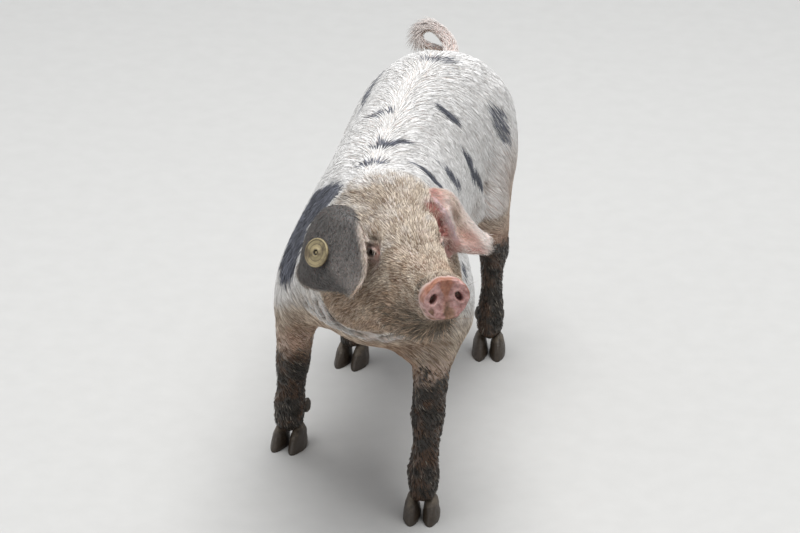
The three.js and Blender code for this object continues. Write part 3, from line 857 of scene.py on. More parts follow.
def paintAt(points, normals):
    where = masks(points)
    spots, head = where["headPoints"], where["head"]
    s, t, v = spots.T
    x, y, z = points.T
    soft, fine = cloud(points, 30, 11), cloud(points, 9, 12)
    mud, damp = np.zeros(len(points)), np.zeros(len(points))
    for leg, (footX, footY) in legFeet.items():
        near = (np.hypot(x - footX, y - footY) < mudPlan["reach"]) * (np.sign(x) == np.sign(footX))
        top = mudPlan["line"][leg] + soft * 10 + fine * 7
        mud = np.maximum(mud, ease(z, *(top + step for step in mudPlan["edge"])) * near)
        damp = np.maximum(damp, ease(z, *(top + step for step in mudPlan["damp"])) * near)
    mud = mud * (1 - head)
    splash = ease(cloud(points, 6, 13) + cloud(points, 14, 14) * 0.6, 0.55, 0.9)
    low = ease(z, 230, 150) * (1 - head)
    mud = np.maximum(mud, splash * low * mudPlan["splash"])
    under = ease(normals[:, 2], 0.1, -0.6)
    brisket = ease(y, -110, -190) * ease(z, 300, 230)
    ham = ease(y, 60, 150) * ease(z, 300, 235) * (1 - head)
    regions = {
        "low": low, "under": under, "brisket": brisket, "damp": damp, "ham": ham, "soft": soft,
        "leg": where["leg"], "tail": where["tail"], "behindEyes": ease(s, -70, 10),
        "snout": ease(s, 10, 80), "jaw": ease(v, 5, -40),
    }
    tan = tinted("tan", regions)
    faceEdge = ease(s, -112 + 12 * soft, -40 + 12 * soft)
    tan = tan + (tinted("face", regions) - tan) * faceEdge * ease(v, -150, -100)
    tan = tan + 0.14 * fine * head + 0.12 * cloud(points, 5, 16) * head
    shoulder = hump(x, -62, 34) * ease(y, -120, -165) * ease(z, 250, 215)
    tan = tan + 0.06 * shoulder * (1 - head) + 0.12 * cloud(points, 12, 17) * low
    tan = tan + 0.22 * ham * (1 - head)
    blush = tinted("blush", regions) * (1 - 0.5 * head)
    disc = ease(s, 111, 116.5) * head
    blush = blush + 0.3 * head * ease(cloud(points, 13, 15), 0.1, 0.8) * ease(s, 0, 50)
    for centre in eyeCentres:
        ring = ease(norm((spots - centre) * (1, 1, 1.25)), 21, 13) * head
        blush = np.maximum(blush, ring * (0.25 + 0.45 * ease(s - centre[0], -4, 12)))
    blush = blush + (1 - blush) * disc
    dark = 0.9 * head * ease(v, -14, -30) * ease(s, 45, 88)
    # the throat's folds are painted dark as shade, with less tan beside them
    for line in folds + foldFloors:
        far = alongLine(points, line)[0]
        dark = np.maximum(dark, hump(far, 0, 3.4))
        tan = tan * (1 - 0.5 * hump(far, 8, 4))
    dark = dark + 0.18 * head * ease(np.abs(t), 28, 40) * ease(s, 5, -20) * ease(v, -8, 10)
    _, discX, discY = toDisc(spots).T
    around = np.degrees(np.arctan2(discY, discX))
    # a dark ring behind the disc, strongest high on the pig's left: partly dark hair, partly painted shade in
    # the groove
    collar = hump(s, 108.5, 4.5) * (0.3 + 0.7 * hump(around, 150, 34)) * head
    dark = np.maximum(dark, 0.85 * collar)
    dark = np.clip(dark + 0.12 * fine * head, 0, 1) * (1 - disc)
    for side, centre in zip((-1, 1), eyeCentres):
        inner = hump(norm(spots - centre - np.array([4, -11 * side, 7])), 0, 12)
        inner = inner * head * (0.7 + 0.5 * cloud(points, 4, 18))
        tan, blush = tan + 0.3 * inner, blush + 0.62 * inner
        # painted shade in the upper part of each eye socket, above the eye
        brow = (spots - centre - np.array([-2, 3 * side, 12])) * (0.55, 0.8, 1.5)
        dark = np.maximum(dark, 0.62 * ease(norm(brow), 11, 4) * head)
    found = {"mud": mud, "tan": tan * (1 - disc), "blush": blush}
    found = {name: np.clip(values, 0, 1) for name, values in found.items()}
    return {"mark": bodyMarks(points), **found, "disc": disc, "dark": dark}


points, normals = meshPoints(skinMesh), meshNormals(skinMesh)
paint = paintAt(points, normals)
for name in ("grey", "conchaRedAndShade", "violet"):
    paint[name] = np.zeros(len(points))


def atLeast(name, values):
    paint[name] = np.maximum(paint[name], values)


def fade(amount, *names, to=0):
    for name in names:
        paint[name] = paint[name] * (1 - amount) + amount * to


lidSkin = ease(lidGap, 6.0, 2.5)
atLeast("blush", lidSkin * 0.62)
fade(0.5 * lidSkin, "tan")
fade(0.5 * ease(lidGap, 3.5, 1.6), "dark")
atLeast("dark", 0.85 * ease(lidGap, 1.5, 0.5))
inCorner = ease(corner, 5.0, 2.2)
atLeast("blush", inCorner)
fade(inCorner, "dark")
earBlots = {  # mask, u, v, their reach, strength, on the face that shows
    "left": [
        ("blush", 0.16, 0.17, 0.30, 0.13, 1.0), ("conchaRedAndShade", 0.10, 0.22, 0.12, 0.07, 0.5),
        ("conchaRedAndShade", 0.0, 0.36, 0.08, 0.20, 1.0), ("conchaRedAndShade", 0.0, 0.63, 0.075, 0.12, 1.0),
        ("conchaRedAndShade", 0.25, 0.14, 0.16, 0.07, 0.75), ("conchaRedAndShade", 0.06, 0.90, 0.13, 0.08, 0.9),
        ("tan", 0.22, 0.70, 0.05, 0.10, 0.7), ("tan", 0.28, 0.52, 0.05, 0.12, 0.6),
        ("dark", 0.28, 0.54, 0.028, 0.08, 0.45), ("tan", 0.39, 0.40, 0.09, 0.35, 0.35),
        ("blush", 0.04, 0.60, 0.09, 0.12, 1.0), ("blush", 0.24, 0.80, 0.10, 0.10, 0.8),
    ],
    "right": [("tan", 0.04, 0.95, 0.08, 0.08, 0.5), ("grey", 0.6, 0.5, 0.2, 0.2, 0.2)],
}
earSpots = {}
for side, ear in ears.items():
    fit = earSpots[side] = onLeaf(ear, points, leaf["paint"])
    u, v = fit["u"], fit["v"]
    shown = np.sign(np.sum(normals * fit["normal"], axis=1)) * ear["seen"] > 0
    onEar = np.maximum(onEar, (fit["far"] < 3.5) & shown & (v > 0.2) & (u > 0.03) & (u < 0.97))
    fit["weight"] = onEar * (fit["far"] < 9)
    w = ease(fit["weight"], 0.2, 0.8)
    rim = np.maximum(ease(u, 0.95, 0.99), ease(v, 0.96, 0.995))
    if side == "right":
        pale = np.maximum(0.92 * ease(u, 0.075, 0.02) * ease(v, 0.2, 0.4), 0.55 * rim)
        pale = np.maximum(pale, 0.8 * ease(v, 0.93, 0.99) * ease(u, 0.3, 0.05))
        pale = np.maximum(pale, 0.14 * ease(u, 0.6, 0.1) * ease(v, 0.5, 0.85))
        paint["grey"] = w * np.where(shown, (1 - pale) * (0.98 + 0.03 * cloud(points, 8, 71)), 0.3)
        bare, brown = np.where(shown, 0.12, 0.7), 0.25 + 0.2 * pale
    else:
        ridge = hump(u, ridgeAt(v), 0.03) * ease(v, 0.08, 0.2) * ease(v, 0.74, 0.58)
        paint["violet"] = w * ridge * shown
        bare, brown = np.where(shown, 0.34 + 0.3 * ease(u, 0.3, 0.1), 0.30), 0.10 + 0.15 * rim
    fade(w, "tan", to=brown)
    fade(w, "blush", to=bare)
    fade(w, "mark", "dark")
    for name, atU, atV, reachU, reachV, strength in earBlots[side]:
        blot = hump(u, atU, reachU) * hump(v, atV, reachV) * w * shown * strength
        blot = blot * (1 - 0.8 * (paint["violet"] if name == "conchaRedAndShade" else 0))
        paint[name] = np.clip(paint[name] + blot, 0, 1)
hollow, lobe = (alongLine(points, line)[0] for line in (earHollow, earLobe))
ragged = cloud(points, 5, 55) * 2.5
# deep red in the ear's hollow: the ear's own red, deepened as painted shade
atLeast("conchaRedAndShade", ease(hollow + ragged, 14, 9) * (1 - 0.5 * paint["violet"]))
atLeast("conchaRedAndShade", 0.55 * ease(lobe + ragged, 15, 10))
atLeast("blush", ease(lobe + ragged, 15, 10))
fade(ease(lobe, 13, 8), "dark", "tan")
# painted shade in the creases
paint["crease"] = creaseShade
depth, x, y = toDisc(toHead(points)).T
hole = nostrilAt(x, y)
inside = np.hypot(x, y) / discEdge(np.arctan2(y, x))
speck = cloud(points, 3.2, 51)
rust = 0.9 * hump(x, 1, 10) * ease(y, 2, 12) + 0.7 * hump(x, 0, 4.5) * ease(y, -20, -8)
rust = rust + 0.8 * ease(inside, 0.86, 0.97) + 0.35 * cloud(points, 6, 52)
rust = rust - 0.7 * hump(hole, 1.6, 0.7)
# darker brown in the disc's middle below the nostrils, towards its lower rim, and in specks
discDark = 0.9 * hump(x, 2, 6) * ease(y, -4, -10) + 0.45 * hump(x, 1, 3) * ease(y, 6, -2)
discDark = discDark + 0.9 * ease(speck, -0.1, 0.3) * ease(x, -6, -15) * ease(y, -2, -9)
discDark = discDark + 0.6 * ease(inside, 0.88, 1.0) * ease(y, -7, -14)
discDark = discDark + 0.5 * ease(inside, 0.93, 1.0) * ease(speck, -0.3, 0.3)
# painted shade deep in the nostrils, darker the deeper in
paint["pit"] = paint["disc"] * ease(hole, 1.05, 0.65) * ease(depth, -1.5, -5)
paint["rust"] = np.clip(rust, 0, 1) * paint["disc"]
paint["discDark"] = np.clip(discDark + 0.25 * cloud(points, 6, 53), 0, 1) * paint["disc"]
for name, values in paint.items():
    putFloat(skinMesh, name, values)
print("masks painted; triangles in the skin:", triangleCount(skinMesh))


def layered(base, tone, layers):  # each layer is laid over the ones before, by its mask
    for mask, low, high in layers:
        base = mask.mixed(base, tone.mixed(low, high) if high else low)
    return base


def skinPaint(start):
    value = start.value
    mark, mud, disc = value("mark"), value("mud"), value("disc")
    mottle, broad = start.noise(160, 4), start.noise(34, 3)
    edge = (mark + (mottle - 0.5) * 0.5).between(0.3, 0.62)
    base = layered(broad.mixed((0.74, 0.68, 0.63), (0.83, 0.78, 0.73)), mottle, [
        (value("tan") * 0.9, (0.27, 0.165, 0.10), (0.42, 0.28, 0.18)),
        (value("blush") * 0.75, (0.58, 0.24, 0.19), (0.68, 0.36, 0.29)),
        # dark hair and skin, with painted shade in the throat's folds, the groove behind the disc and above
        # the eyes
        (value("dark"), (0.10, 0.085, 0.06), None),
        (edge * 0.9, (0.06, 0.062, 0.078), (0.14, 0.145, 0.17)),
        (value("grey"), (0.05, 0.046, 0.044), (0.115, 0.104, 0.098)),
        # the ear's deep red, deepened as painted shade in its hollows
        (value("conchaRedAndShade"), (0.10, 0.024, 0.018), (0.34, 0.11, 0.085)),
        (value("violet") * 0.85, (0.40, 0.28, 0.31), (0.62, 0.50, 0.52)),
    ])
    blotch = start.noise(190, 4, 0.6).between(0.25, 0.75)
    rusty = (value("rust") + (mottle - 0.5) * 0.5).between(0.1, 0.9)
    discDarkened = (value("discDark") + (mottle - 0.5) * 0.9).between(0.2, 0.9)
    salmon = layered(blotch.mixed((0.26, 0.125, 0.11), (0.60, 0.37, 0.34)), blotch, [
        (rusty, (0.22, 0.08, 0.045), (0.40, 0.185, 0.12)),
        (discDarkened * 0.95, (0.07, 0.04, 0.025), (0.27, 0.15, 0.09)),
        # painted shade deep in the nostrils
        (value("pit"), (0.055, 0.018, 0.015), None),
    ])
    wet = (mud + (broad - 0.5) * 0.5).between(0.3, 0.6)
    earth = start.noise(52, 3, 0.5).between(0.45, 0.62).mixed((0.034, 0.027, 0.02), (0.085, 0.045, 0.024))
    grit = start.noise(210, 3, 0.7).between(0.62, 0.7)
    earth = (mottle - 0.2).mixed(earth, (0.012, 0.009, 0.006))
    base = layered(base, mottle, [
        (disc, salmon, None),
        # painted shade in the creases
        (value("crease") * 0.8, (0.07, 0.045, 0.03), None),
        (wet, (grit * 0.8).mixed(earth, (0.20, 0.17, 0.14)), None),
    ])
    rough = 0.62 - 0.2 * wet - 0.12 * disc + (mottle - 0.5) * 0.3
    pores = start.noise(900, 2, 0.6)
    bump = start.bump(pores + mottle * 0.8, 0.35, 0.0006)
    return {"Base Color": base, "Roughness": rough, "Normal": bump}


skinMesh.materials.clear()
skinMesh.shade_smooth()
skinObject = newObject("skin", skinMesh, newMaterial("skin", skinPaint, Subsurface_Weight=0.06))
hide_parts(*fleshNodes, *earNodes)
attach(skinObject, "root")


# Eyes: a ball with a raised cornea, dark iris and wide pupil. gaze is the angle from its axis.
def eyePaint(start):
    gaze = start.value("gaze")
    threads = start.noise(420, 4, 0.7)
    colour = threads.mixed((0.035, 0.017, 0.009), (0.14, 0.07, 0.035))
    colour = layered(colour, threads, [
        (gaze.between(0.60, 0.68), (0.02, 0.012, 0.01), None),
        (gaze.between(0.70, 0.80), (0.12, 0.05, 0.035), (0.34, 0.20, 0.16)),
        (gaze.between(0.44, 0.38), (0.004, 0.004, 0.005), None),
    ])
    return {"Base Color": colour}


eyeMaterial = newMaterial("eye", eyePaint, Roughness=0.08, Coat_Weight=1.0, Coat_Roughness=0.03)
for side, name, centre in zip((-1, 1), ("eye_right", "eye_left"), eyeCentres):
    look, level, upward = eyeFrame(side)
    shape = bmesh.new()
    bmesh.ops.create_uvsphere(shape, u_segments=40, v_segments=28, radius=eyePlan["radius"])
    for vertex in shape.verts:
        angle = vertex.co.angle(Vector((0, 0, 1)), 0)
        rise = max(0, 1 - (angle / eyePlan["corneaFrom"]) ** 2) * eyePlan["corneaRise"]
        vertex.co *= 1 + rise / eyePlan["radius"]
    eyeMesh = newMesh(name + "_ball", shape)
    local = fetch(eyeMesh.vertices, "co", 3)
    putFloat(eyeMesh, "gaze", np.arccos(np.clip(unit(local)[:, 2], -1, 1)))
    movePoints(eyeMesh, fromHead(local @ np.array([level, upward, look]) + centre))
    editMesh(eyeMesh, lambda shape: bmesh.ops.recalc_face_normals(shape, faces=shape.faces))
    eyeMesh.shade_smooth()
    piece = newObject(name + "_ball", eyeMesh, eyeMaterial)
    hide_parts(name)
    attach(piece, "root")
print("eyes made")

# Claws: horn grown in rings, caked with mud.
hornPlan = {
    "voxel": 1.1, "smooth": 5, "ring": 2.6, "ringDeep": 0.25, "chip": 0.5, "grow": 0.35,
    "sole": 1.4, "cakeTop": 22, "cakeFull": 4,
}


def hornPaint(start):
    grain = start.noise(260, 4, 0.6)
    lines = start.noise(60, 3, 0.5, (1, 1, 9))
    cake = (start.noise(75, 4, 0.6) + start.value("cake") * 0.45).between(0.42, 0.66)
    horn = (grain * 0.6 + lines * 0.4).mixed((0.055, 0.042, 0.03), (0.21, 0.17, 0.125))
    colour = cake.mixed(horn, grain.mixed((0.028, 0.02, 0.014), (0.07, 0.052, 0.036)))
    bump = start.bump(grain + cake, 0.5, 0.0008)
    return {"Base Color": colour, "Roughness": 0.62 - 0.2 * cake, "Normal": bump}


hornMaterial = newMaterial("horn", hornPaint)
hornNodes = [
    f"{kind}_{leg}_{side}"
    for leg in legNames for kind in ("claw", "dewclaw") for side in ("inner", "outer")
]
for name in hornNodes:
    rough = newObject(name + "_rough", nodes[name].data.copy())
    editMesh(rough.data, weld)
    clawMesh = modified(rough, "REMESH", mode="VOXEL", voxel_size=hornPlan["voxel"] / 1000)
    bpy.data.objects.remove(rough)
    claw = meshPoints(clawMesh)
    low = claw[:, 2].min()
    claw = relax(claw, meshEdges(clawMesh), hornPlan["smooth"])
    movePoints(clawMesh, claw)
    ringed = np.sin(claw[:, 2] / hornPlan["ring"] * 2 * math.pi) * 0.5 + 0.5
    chips = np.maximum(cloud(claw, 5, 21), 0) * hornPlan["chip"]
    inward = ringed * hornPlan["ringDeep"] + chips - hornPlan["grow"]
    claw = claw - meshNormals(clawMesh) * inward[:, None]
    if name.startswith("claw"):
        claw[:, 2] = np.where(claw[:, 2] < low + hornPlan["sole"], low, claw[:, 2])
    claw[:, 2] = np.maximum(claw[:, 2], low)
    movePoints(clawMesh, claw)
    putFloat(clawMesh, "cake", ease(claw[:, 2], low + hornPlan["cakeTop"], low + hornPlan["cakeFull"]))
    clawMesh.materials.clear()
    clawMesh.shade_smooth()
    piece = newObject(name + "_horn", clawMesh, hornMaterial)
    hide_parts(name)
    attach(piece, "root")
print("claws made")


# Ear tag: a moulded button in front, a stud behind with its pin through the ear.
def tagPaint(start):
    scuff, stain = start.noise(300, 5, 0.65), start.noise(85, 4, 0.6)
    colour = layered(scuff.mixed((0.25, 0.20, 0.105), (0.44, 0.36, 0.20)), scuff, [
        (stain.between(0.45, 0.66), (0.14, 0.105, 0.06), None),
        # painted shade in the grooves and low on the sides next to the ear
        (start.value("groove"), (0.055, 0.042, 0.026), None),
    ])
    bump = start.bump(scuff, 0.3, 0.0004)
    return {"Base Color": colour, "Roughness": 0.5 + (stain - 0.5) * 0.4, "Normal": bump}


tagMaterial = newMaterial("tag", tagPaint)
buttonPoints = meshPoints(nodes["ear_tag_button"].data)
tagOut = np.linalg.svd(buttonPoints - buttonPoints.mean(0), full_matrices=False)[2][2]
tagOut = -tagOut if tagOut @ headAxes[1] > 0 else tagOut
tagSide = unit(np.cross(tagOut, [0, 0, 1.0]))
tagAxes = np.array([tagSide, np.cross(tagOut, tagSide), tagOut])
local = buttonPoints @ tagAxes.T
tagAt = (local.min(0) + local.max(0)) / 2
tagAt[2] = local[:, 2].min()
tagPlan = {  # radius and height above the button's back, in millimetres
    "button": [
        (2.2, 0.0), (13.2, 0.0), (13.8, 0.3), (14.0, 0.9), (14.0, 2.2), (13.7, 2.8), (13.1, 3.0),
        (12.5, 2.95), (12.1, 2.5), (11.4, 2.35), (8.6, 2.35), (8.2, 2.15), (7.8, 2.35), (5.2, 2.4),
        (4.7, 2.9), (4.2, 3.35), (3.3, 3.4), (2.8, 3.1), (2.4, 2.6), (2.2, 2.2),
    ],
    "stud": [
        (0.0, -10.5), (6.6, -10.5), (7.3, -10.1), (7.5, -9.5), (7.2, -8.9), (6.4, -8.5),
        (2.2, -8.4), (1.6, -7.6), (1.6, 1.2), (1.5, 2.0), (0.9, 2.6), (0.0, 2.8),
    ],
}
tagShadeRings = [(8.2, 0.5, 0.1, 1), (2.3, 1.2, 0.2, 1), (12.1, 0.6, 0.1, 0.8)]  # painted shade rings in the grooves: radius, edges, strength
for name, profile in tagPlan.items():
    shape = bmesh.new()
    ring = [shape.verts.new((r, 0, z)) for r, z in profile]
    following = ring[1:] + ring[:1] if name == "button" else ring[1:]  # a closed outline round the hole
    path = [shape.edges.new(pair) for pair in zip(ring, following)]
    bmesh.ops.spin(
        shape, geom=ring + path, cent=(0, 0, 0), axis=(0, 0, 1),
        angle=2 * math.pi, steps=64, use_merge=True,
    )
    bmesh.ops.remove_doubles(shape, verts=shape.verts, dist=1e-3)
    bmesh.ops.recalc_face_normals(shape, faces=shape.faces)
    tagMesh = newMesh("tag_" + name, shape)
    spots = fetch(tagMesh.vertices, "co", 3)
    radius = np.hypot(spots[:, 0], spots[:, 1])
    # painted shade: low on the sides next to the ear, and in the grooves
    groove = ease(spots[:, 2], 1.6, 0.6) * 0.8
    for at, start, end, strength in tagShadeRings:
        groove = np.maximum(groove, ease(np.abs(radius - at), start, end) * strength)
    putFloat(tagMesh, "groove", groove * (spots[:, 2] < 3.3))
    movePoints(tagMesh, (spots + tagAt) @ tagAxes)
    tagMesh.shade_smooth()
    piece = newObject("tag_" + name, tagMesh, tagMaterial)
    bevelled = piece.modifiers.new("edges", "EDGE_SPLIT")
    bevelled.split_angle = math.radians(50)
    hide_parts("ear_tag_" + name)
    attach(piece, "root")
print("tag made")

# Coat: flat three-sided tufts that follow the lie of the hair.
coat = {
    "spine": ([-220, -150, -60, 20, 110, 200], [18, 11, 4, 2, 6, 16]),  # y and x along the parting
    "sides": [(-0.5, 0.0), (0.5, 0.0), (0.0, 0.42)],  # a tuft's section, in widths
    "sink": 0.35,  # roots start this far below the skin
    "midLift": 0.62,  # share of a tuft's stand at its middle
    "clear": 0.25,  # and its least height there
    "keepWay": 1.2,  # how much the outer half keeps the inner half's way
    "outer": 0.65,  # a mark is read this far towards the middle
    "patchy": 0.3,  # how much a tuft's tone follows its neighbours'
    "mixed": 0.85,  # and how much it is its own
    "seed": 7,
    "patch": 0.0029,  # a tuft's place on the unwrap
    "unwrapRatio": 0.05,
    "triangles": 199000,  # the most in one piece
}


def turnAbout(ways, normals, angle):
    cos, sin = np.cos(angle)[:, None], np.sin(angle)[:, None]
    return ways * cos + np.cross(normals, ways) * sin


def onSurface(ways, normals):
    return unit(ways - np.sum(ways * normals, axis=1)[:, None] * normals)


def turned(ways, way, amount):
    amount = amount[:, None]
    return ways * (1 - amount) + np.array(way) * amount


def flowAt(points, normals):
    where = masks(points)
    x, y, z = points.T
    across = x - np.interp(y, *coat["spine"])
    side = np.clip(across / 14, -1, 1)
    middle = ease(np.abs(across), 12, 40)
    down = -ease(np.abs(across), 22, 72)
    ways = np.stack([side * (0.75 + 0.35 * middle), 0.85 - 0.5 * middle, down], axis=1)
    ways = turned(ways, (0, 0.2, -1.0), ease(y, 190, 225))  # over the rump
    ways = turned(ways, (0, 1.0, 0), ease(normals[:, 2], -0.35, -0.8))  # under the belly
    ways = turned(ways, (0.3, 0.22, -1.0), where["leg"])
    front = ease(normals[:, 1], -0.1, -0.7) * ease(z, 300, 235) * ease(z, 70, 120) * ease(y, -20, -60)
    ways = turned(ways, (0.7, 0, -0.75), front)  # across the front of the forelegs
    beside = ease(nearLines(points, folds[:3]), 22, 8)
    ways = turned(ways, (0.62, -0.45, -0.35), beside)  # along the throat's folds
    s, t, v = where["headPoints"].T
    cheek = ease(np.abs(t), 20, 48)
    away = np.sign(t) * ease(np.abs(t), 2, 26) * 0.55
    top = ease(v, 0, 20)
    face = np.stack([-1.0 + 0.35 * cheek, away, 0.28 * top - 0.75 * cheek * (1 - top)], axis=1)
    face = turned(face, (-0.8, 0, -0.7), ease(v, -50, -72))  # under the chin
    for centre in eyeCentres:
        gap = where["headPoints"] - centre
        face = face + unit(gap) * (1.3 * ease(norm(gap), 30, 15))[:, None]
    ways = ways + (face @ headAxes - ways) * where["head"][:, None]
    if where["tail"].max() > 0:
        far, along = alongLine(points, tailCurve)
        i = np.clip((along * (len(tailCurve) - 1)).astype(int), 0, len(tailCurve) - 2)
        ways = ways + (unit(np.diff(tailCurve, axis=0))[i] - ways) * where["tail"][:, None]
    swirl = cloud(points, 34, 31) * 0.13 + cloud(points, 9, 32) * (0.045 + 0.2 * where["head"])
    return turnAbout(onSurface(ways, normals), normals, swirl)


def nearest(tree, spots):
    place, normal, face = np.empty_like(spots), np.empty_like(spots), np.zeros(len(spots), int)
    for i, spot in enumerate(spots.tolist()):
        place[i], normal[i], face[i], _ = tree.find_nearest(spot)
    return place, normal, face


# A coarse unwrap of the skin gives each tuft its place on the OFBake map.
coarse = newObject("coarseSkin", skinMesh.copy())
coarseMesh = coarse.data = modified(coarse, "DECIMATE", ratio=coat["unwrapRatio"])
bpy.context.view_layer.objects.active = coarse
coarse.select_set(True)
bpy.ops.object.mode_set(mode="EDIT")
bpy.ops.mesh.select_all(action="SELECT")
bpy.ops.uv.smart_project(angle_limit=math.radians(66), island_margin=0.004)
bpy.ops.object.mode_set(mode="OBJECT")
coarseMesh.calc_loop_triangles()
coarseLoops = fetch(coarseMesh.loop_triangles, "loops", 3, np.int32)
coarseCorners = fetch(coarseMesh.loop_triangles, "vertices", 3, np.int32)
coarseUv = fetch(coarseMesh.uv_layers.active.data, "uv", 2)
coarsePoints = meshPoints(coarseMesh)
coarseTree = BVHTree.FromPolygons(coarsePoints.tolist(), coarseCorners.tolist())
bpy.data.objects.remove(coarse)
skinTree = BVHTree.FromPolygons(points.tolist(), [tuple(polygon.vertices) for polygon in skinMesh.polygons])


def uvAt(spots):
    place, _, face = nearest(coarseTree, spots)
    a, b, c = (coarsePoints[coarseCorners[face, k]] for k in range(3))
    whole = np.cross(b - a, c - a)
    size = np.maximum(np.sum(whole * whole, axis=1), 1e-12)
    wb = np.sum(np.cross(place - a, c - a) * whole, axis=1) / size
    wc = np.sum(np.cross(b - a, place - a) * whole, axis=1) / size
    weights = np.stack([1 - wb - wc, wb, wc], axis=1)
    return np.sum(coarseUv[coarseLoops[face]] * weights[:, :, None], axis=1)


print("skin unwrapped for the coat")
skinMesh.calc_loop_triangles()
triangles = fetch(skinMesh.loop_triangles, "vertices", 3, np.int32)
corners = points[triangles]
areas = norm(np.cross(corners[:, 1] - corners[:, 0], corners[:, 2] - corners[:, 0])) / 2
rng = np.random.default_rng(coat["seed"])


def scatter(density, count):  # roots spread evenly, by a density at each point of the skin
    weight = np.cumsum(areas * density[triangles].mean(axis=1))
    pick = np.searchsorted(weight, (np.arange(count) + rng.random(count)) / count * weight[-1])
    pick = np.minimum(pick, len(triangles) - 1)
    r = np.sqrt(rng.random(count))
    q = rng.random(count)
    share = np.stack([1 - r, r * (1 - q), r * q], axis=1)[:, :, None]
    spots = np.sum(corners[pick] * share, axis=1)
    ways = unit(np.sum(normals[triangles[pick]] * share, axis=1))
    tags = {tag: np.sum(paint[tag][triangles[pick]] * share[:, :, 0], axis=1) for tag in coatTags}
    return spots, ways, tags


def tuftMesh(name, centre, width, upward, tags, uv):
    count, rings = centre.shape[:2]  # the last ring is the tip
    forward = unit(np.gradient(centre, axis=1))
    broad = unit(np.cross(forward, upward))
    raised = unit(np.cross(broad, forward))
    vertices = []
    for k in range(rings - 1):
        w = width[:, k, None]
        vertices += [centre[:, k] + broad[:, k] * w * a + raised[:, k] * w * b for a, b in coat["sides"]]
    vertices = np.stack([*vertices, centre[:, -1]], axis=1)
    each = vertices.shape[1]
    last = each - 4
    sides = ((0, 2), (2, 1), (1, 0))
    faces = [(0, 1, 2)]
    faces += [(k + a, k + b, k + 3 + b, k + 3 + a) for k in range(0, last, 3) for a, b in sides]
    faces += [(last + a, last + b, each - 1) for a, b in sides]
    loops = np.array([i for face in faces for i in face])
    starts = np.concatenate([[0], np.cumsum([len(face) for face in faces])[:-1]])
    tufts = np.arange(count)[:, None]
    allLoops = (loops + tufts * each).ravel()
    mesh = bpy.data.meshes.new(name)
    mesh.vertices.add(count * each)
    mesh.vertices.foreach_set("co", toScene(vertices.reshape(-1, 3)).ravel())
    mesh.loops.add(len(allLoops))
    mesh.loops.foreach_set("vertex_index", allLoops.astype(np.int32))
    mesh.polygons.add(count * len(faces))
    mesh.polygons.foreach_set("loop_start", (starts + tufts * len(loops)).ravel().astype(np.int32))
    mesh.update(calc_edges=True)
    cell = np.array([[(k % 3) / 2, k // 3 / (rings - 1)] for k in range(each - 1)] + [[0.5, 1.0]])
    putFloat(mesh, "along", np.tile(cell[:, 1], count))
    for tag, values in tags.items():
        putFloat(mesh, tag, np.repeat(values, each))
    spots = uv[:, None] + (cell[None] - 0.5) * coat["patch"]
    layer = mesh.uv_layers.new(name="OFBake")
    layer.data.foreach_set("uv", spots.reshape(-1, 2)[allLoops].ravel())
    mesh.shade_smooth()
    return mesh


def one(spots):
    return 1


def growCoat(name, plan):
    roots, ways, tags = scatter(plan["density"], plan["count"])
    count, steps = len(roots), plan.get("rings", 4)
    chance = rng.random((5, count))
    low, high = plan["length"]
    length = (low + (high - low) * chance[0]) * plan.get("lengthAt", one)(roots)
    flow = plan.get("flow", flowAt)
    direction = turnAbout(flow(roots, ways), ways, (chance[1] - 0.5) * plan["stray"])
    low, high = plan["stand"]
    stand = (low + (high - low) * chance[2] ** 1.5) * plan.get("standAt", one)(roots)
    half = (length * 0.5)[:, None]
    if plan.get("hug", True):
        middle, middleNormal, _ = nearest(skinTree, roots + direction * half)
        onward = unit(flow(middle, middleNormal) + onSurface(direction, middleNormal) * coat["keepWay"])
        tip, tipNormal, _ = nearest(skinTree, middle + onward * half)
        middle = middle + middleNormal * (stand * coat["midLift"] + coat["clear"])[:, None]
        tip = tip + tipNormal * stand[:, None]
    else:
        middle = roots + direction * half + ways * (stand * 0.6)[:, None]
        tip = roots + direction * length[:, None] + ways * stand[:, None]
        tip = tip + np.array(plan.get("droop", (0, 0, 0))) * half
    start = roots - ways * coat["sink"]
    centre, widths = [], []
    wide = plan["width"] * (0.75 + 0.5 * chance[3])  # at the root; widest a third of the way out
    for t in np.arange(steps) / (steps - 1):
        centre.append(start * (1 - t) * (1 - 2 * t) + middle * 4 * t * (1 - t) + tip * t * (2 * t - 1))
        widths.append(wide * (0.7 + 1.2 * t - 1.75 * t * t))
    centre, widths = np.stack(centre, axis=1), np.stack(widths, axis=1)
    upward = np.repeat(ways[:, None], steps, axis=1)
    if "wiry" in plan:  # black hairs among pale ones
        tags["dark"] = np.where(rng.random(count) < plan["wiry"], 1.0, 0.0)
    if plan.get("markAhead"):  # a tuft is as dark as the skin below its middle, painted fold shade included
        ahead = start * (1 - coat["outer"]) + middle * coat["outer"]
        tags["mark"] = bodyMarks(ahead)
        tags["dark"] = np.maximum(tags["dark"], foldShade(ahead))
    patchy, mixed = coat["patchy"] * cloud(roots, 7, 41), coat["mixed"] * (chance[4] - 0.5)
    tags["tone"] = np.clip(0.5 + patchy + mixed, 0, 1)
    uv = uvAt(roots)
    order = np.argsort(roots @ np.array([0.05, 1.0, 0.02]))
    each = 1 + 6 * (steps - 2) + 3  # triangles in a tuft
    pieces = math.ceil(count / (coat["triangles"] // each))
    for number, share in enumerate(np.array_split(order, pieces)):
        part = {key: values[share] for key, values in tags.items()}
        mesh = tuftMesh(f"{name}_{number + 1}", centre[share], widths[share], upward[share], part, uv[share])
        piece = newObject(mesh.name, mesh, coatMaterial)
        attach(piece, "root")
    print(name, "grown:", count, "tufts in", pieces, "pieces")


coatTags = ("mark", "mud", "tan", "blush", "dark", "grey", "conchaRedAndShade")


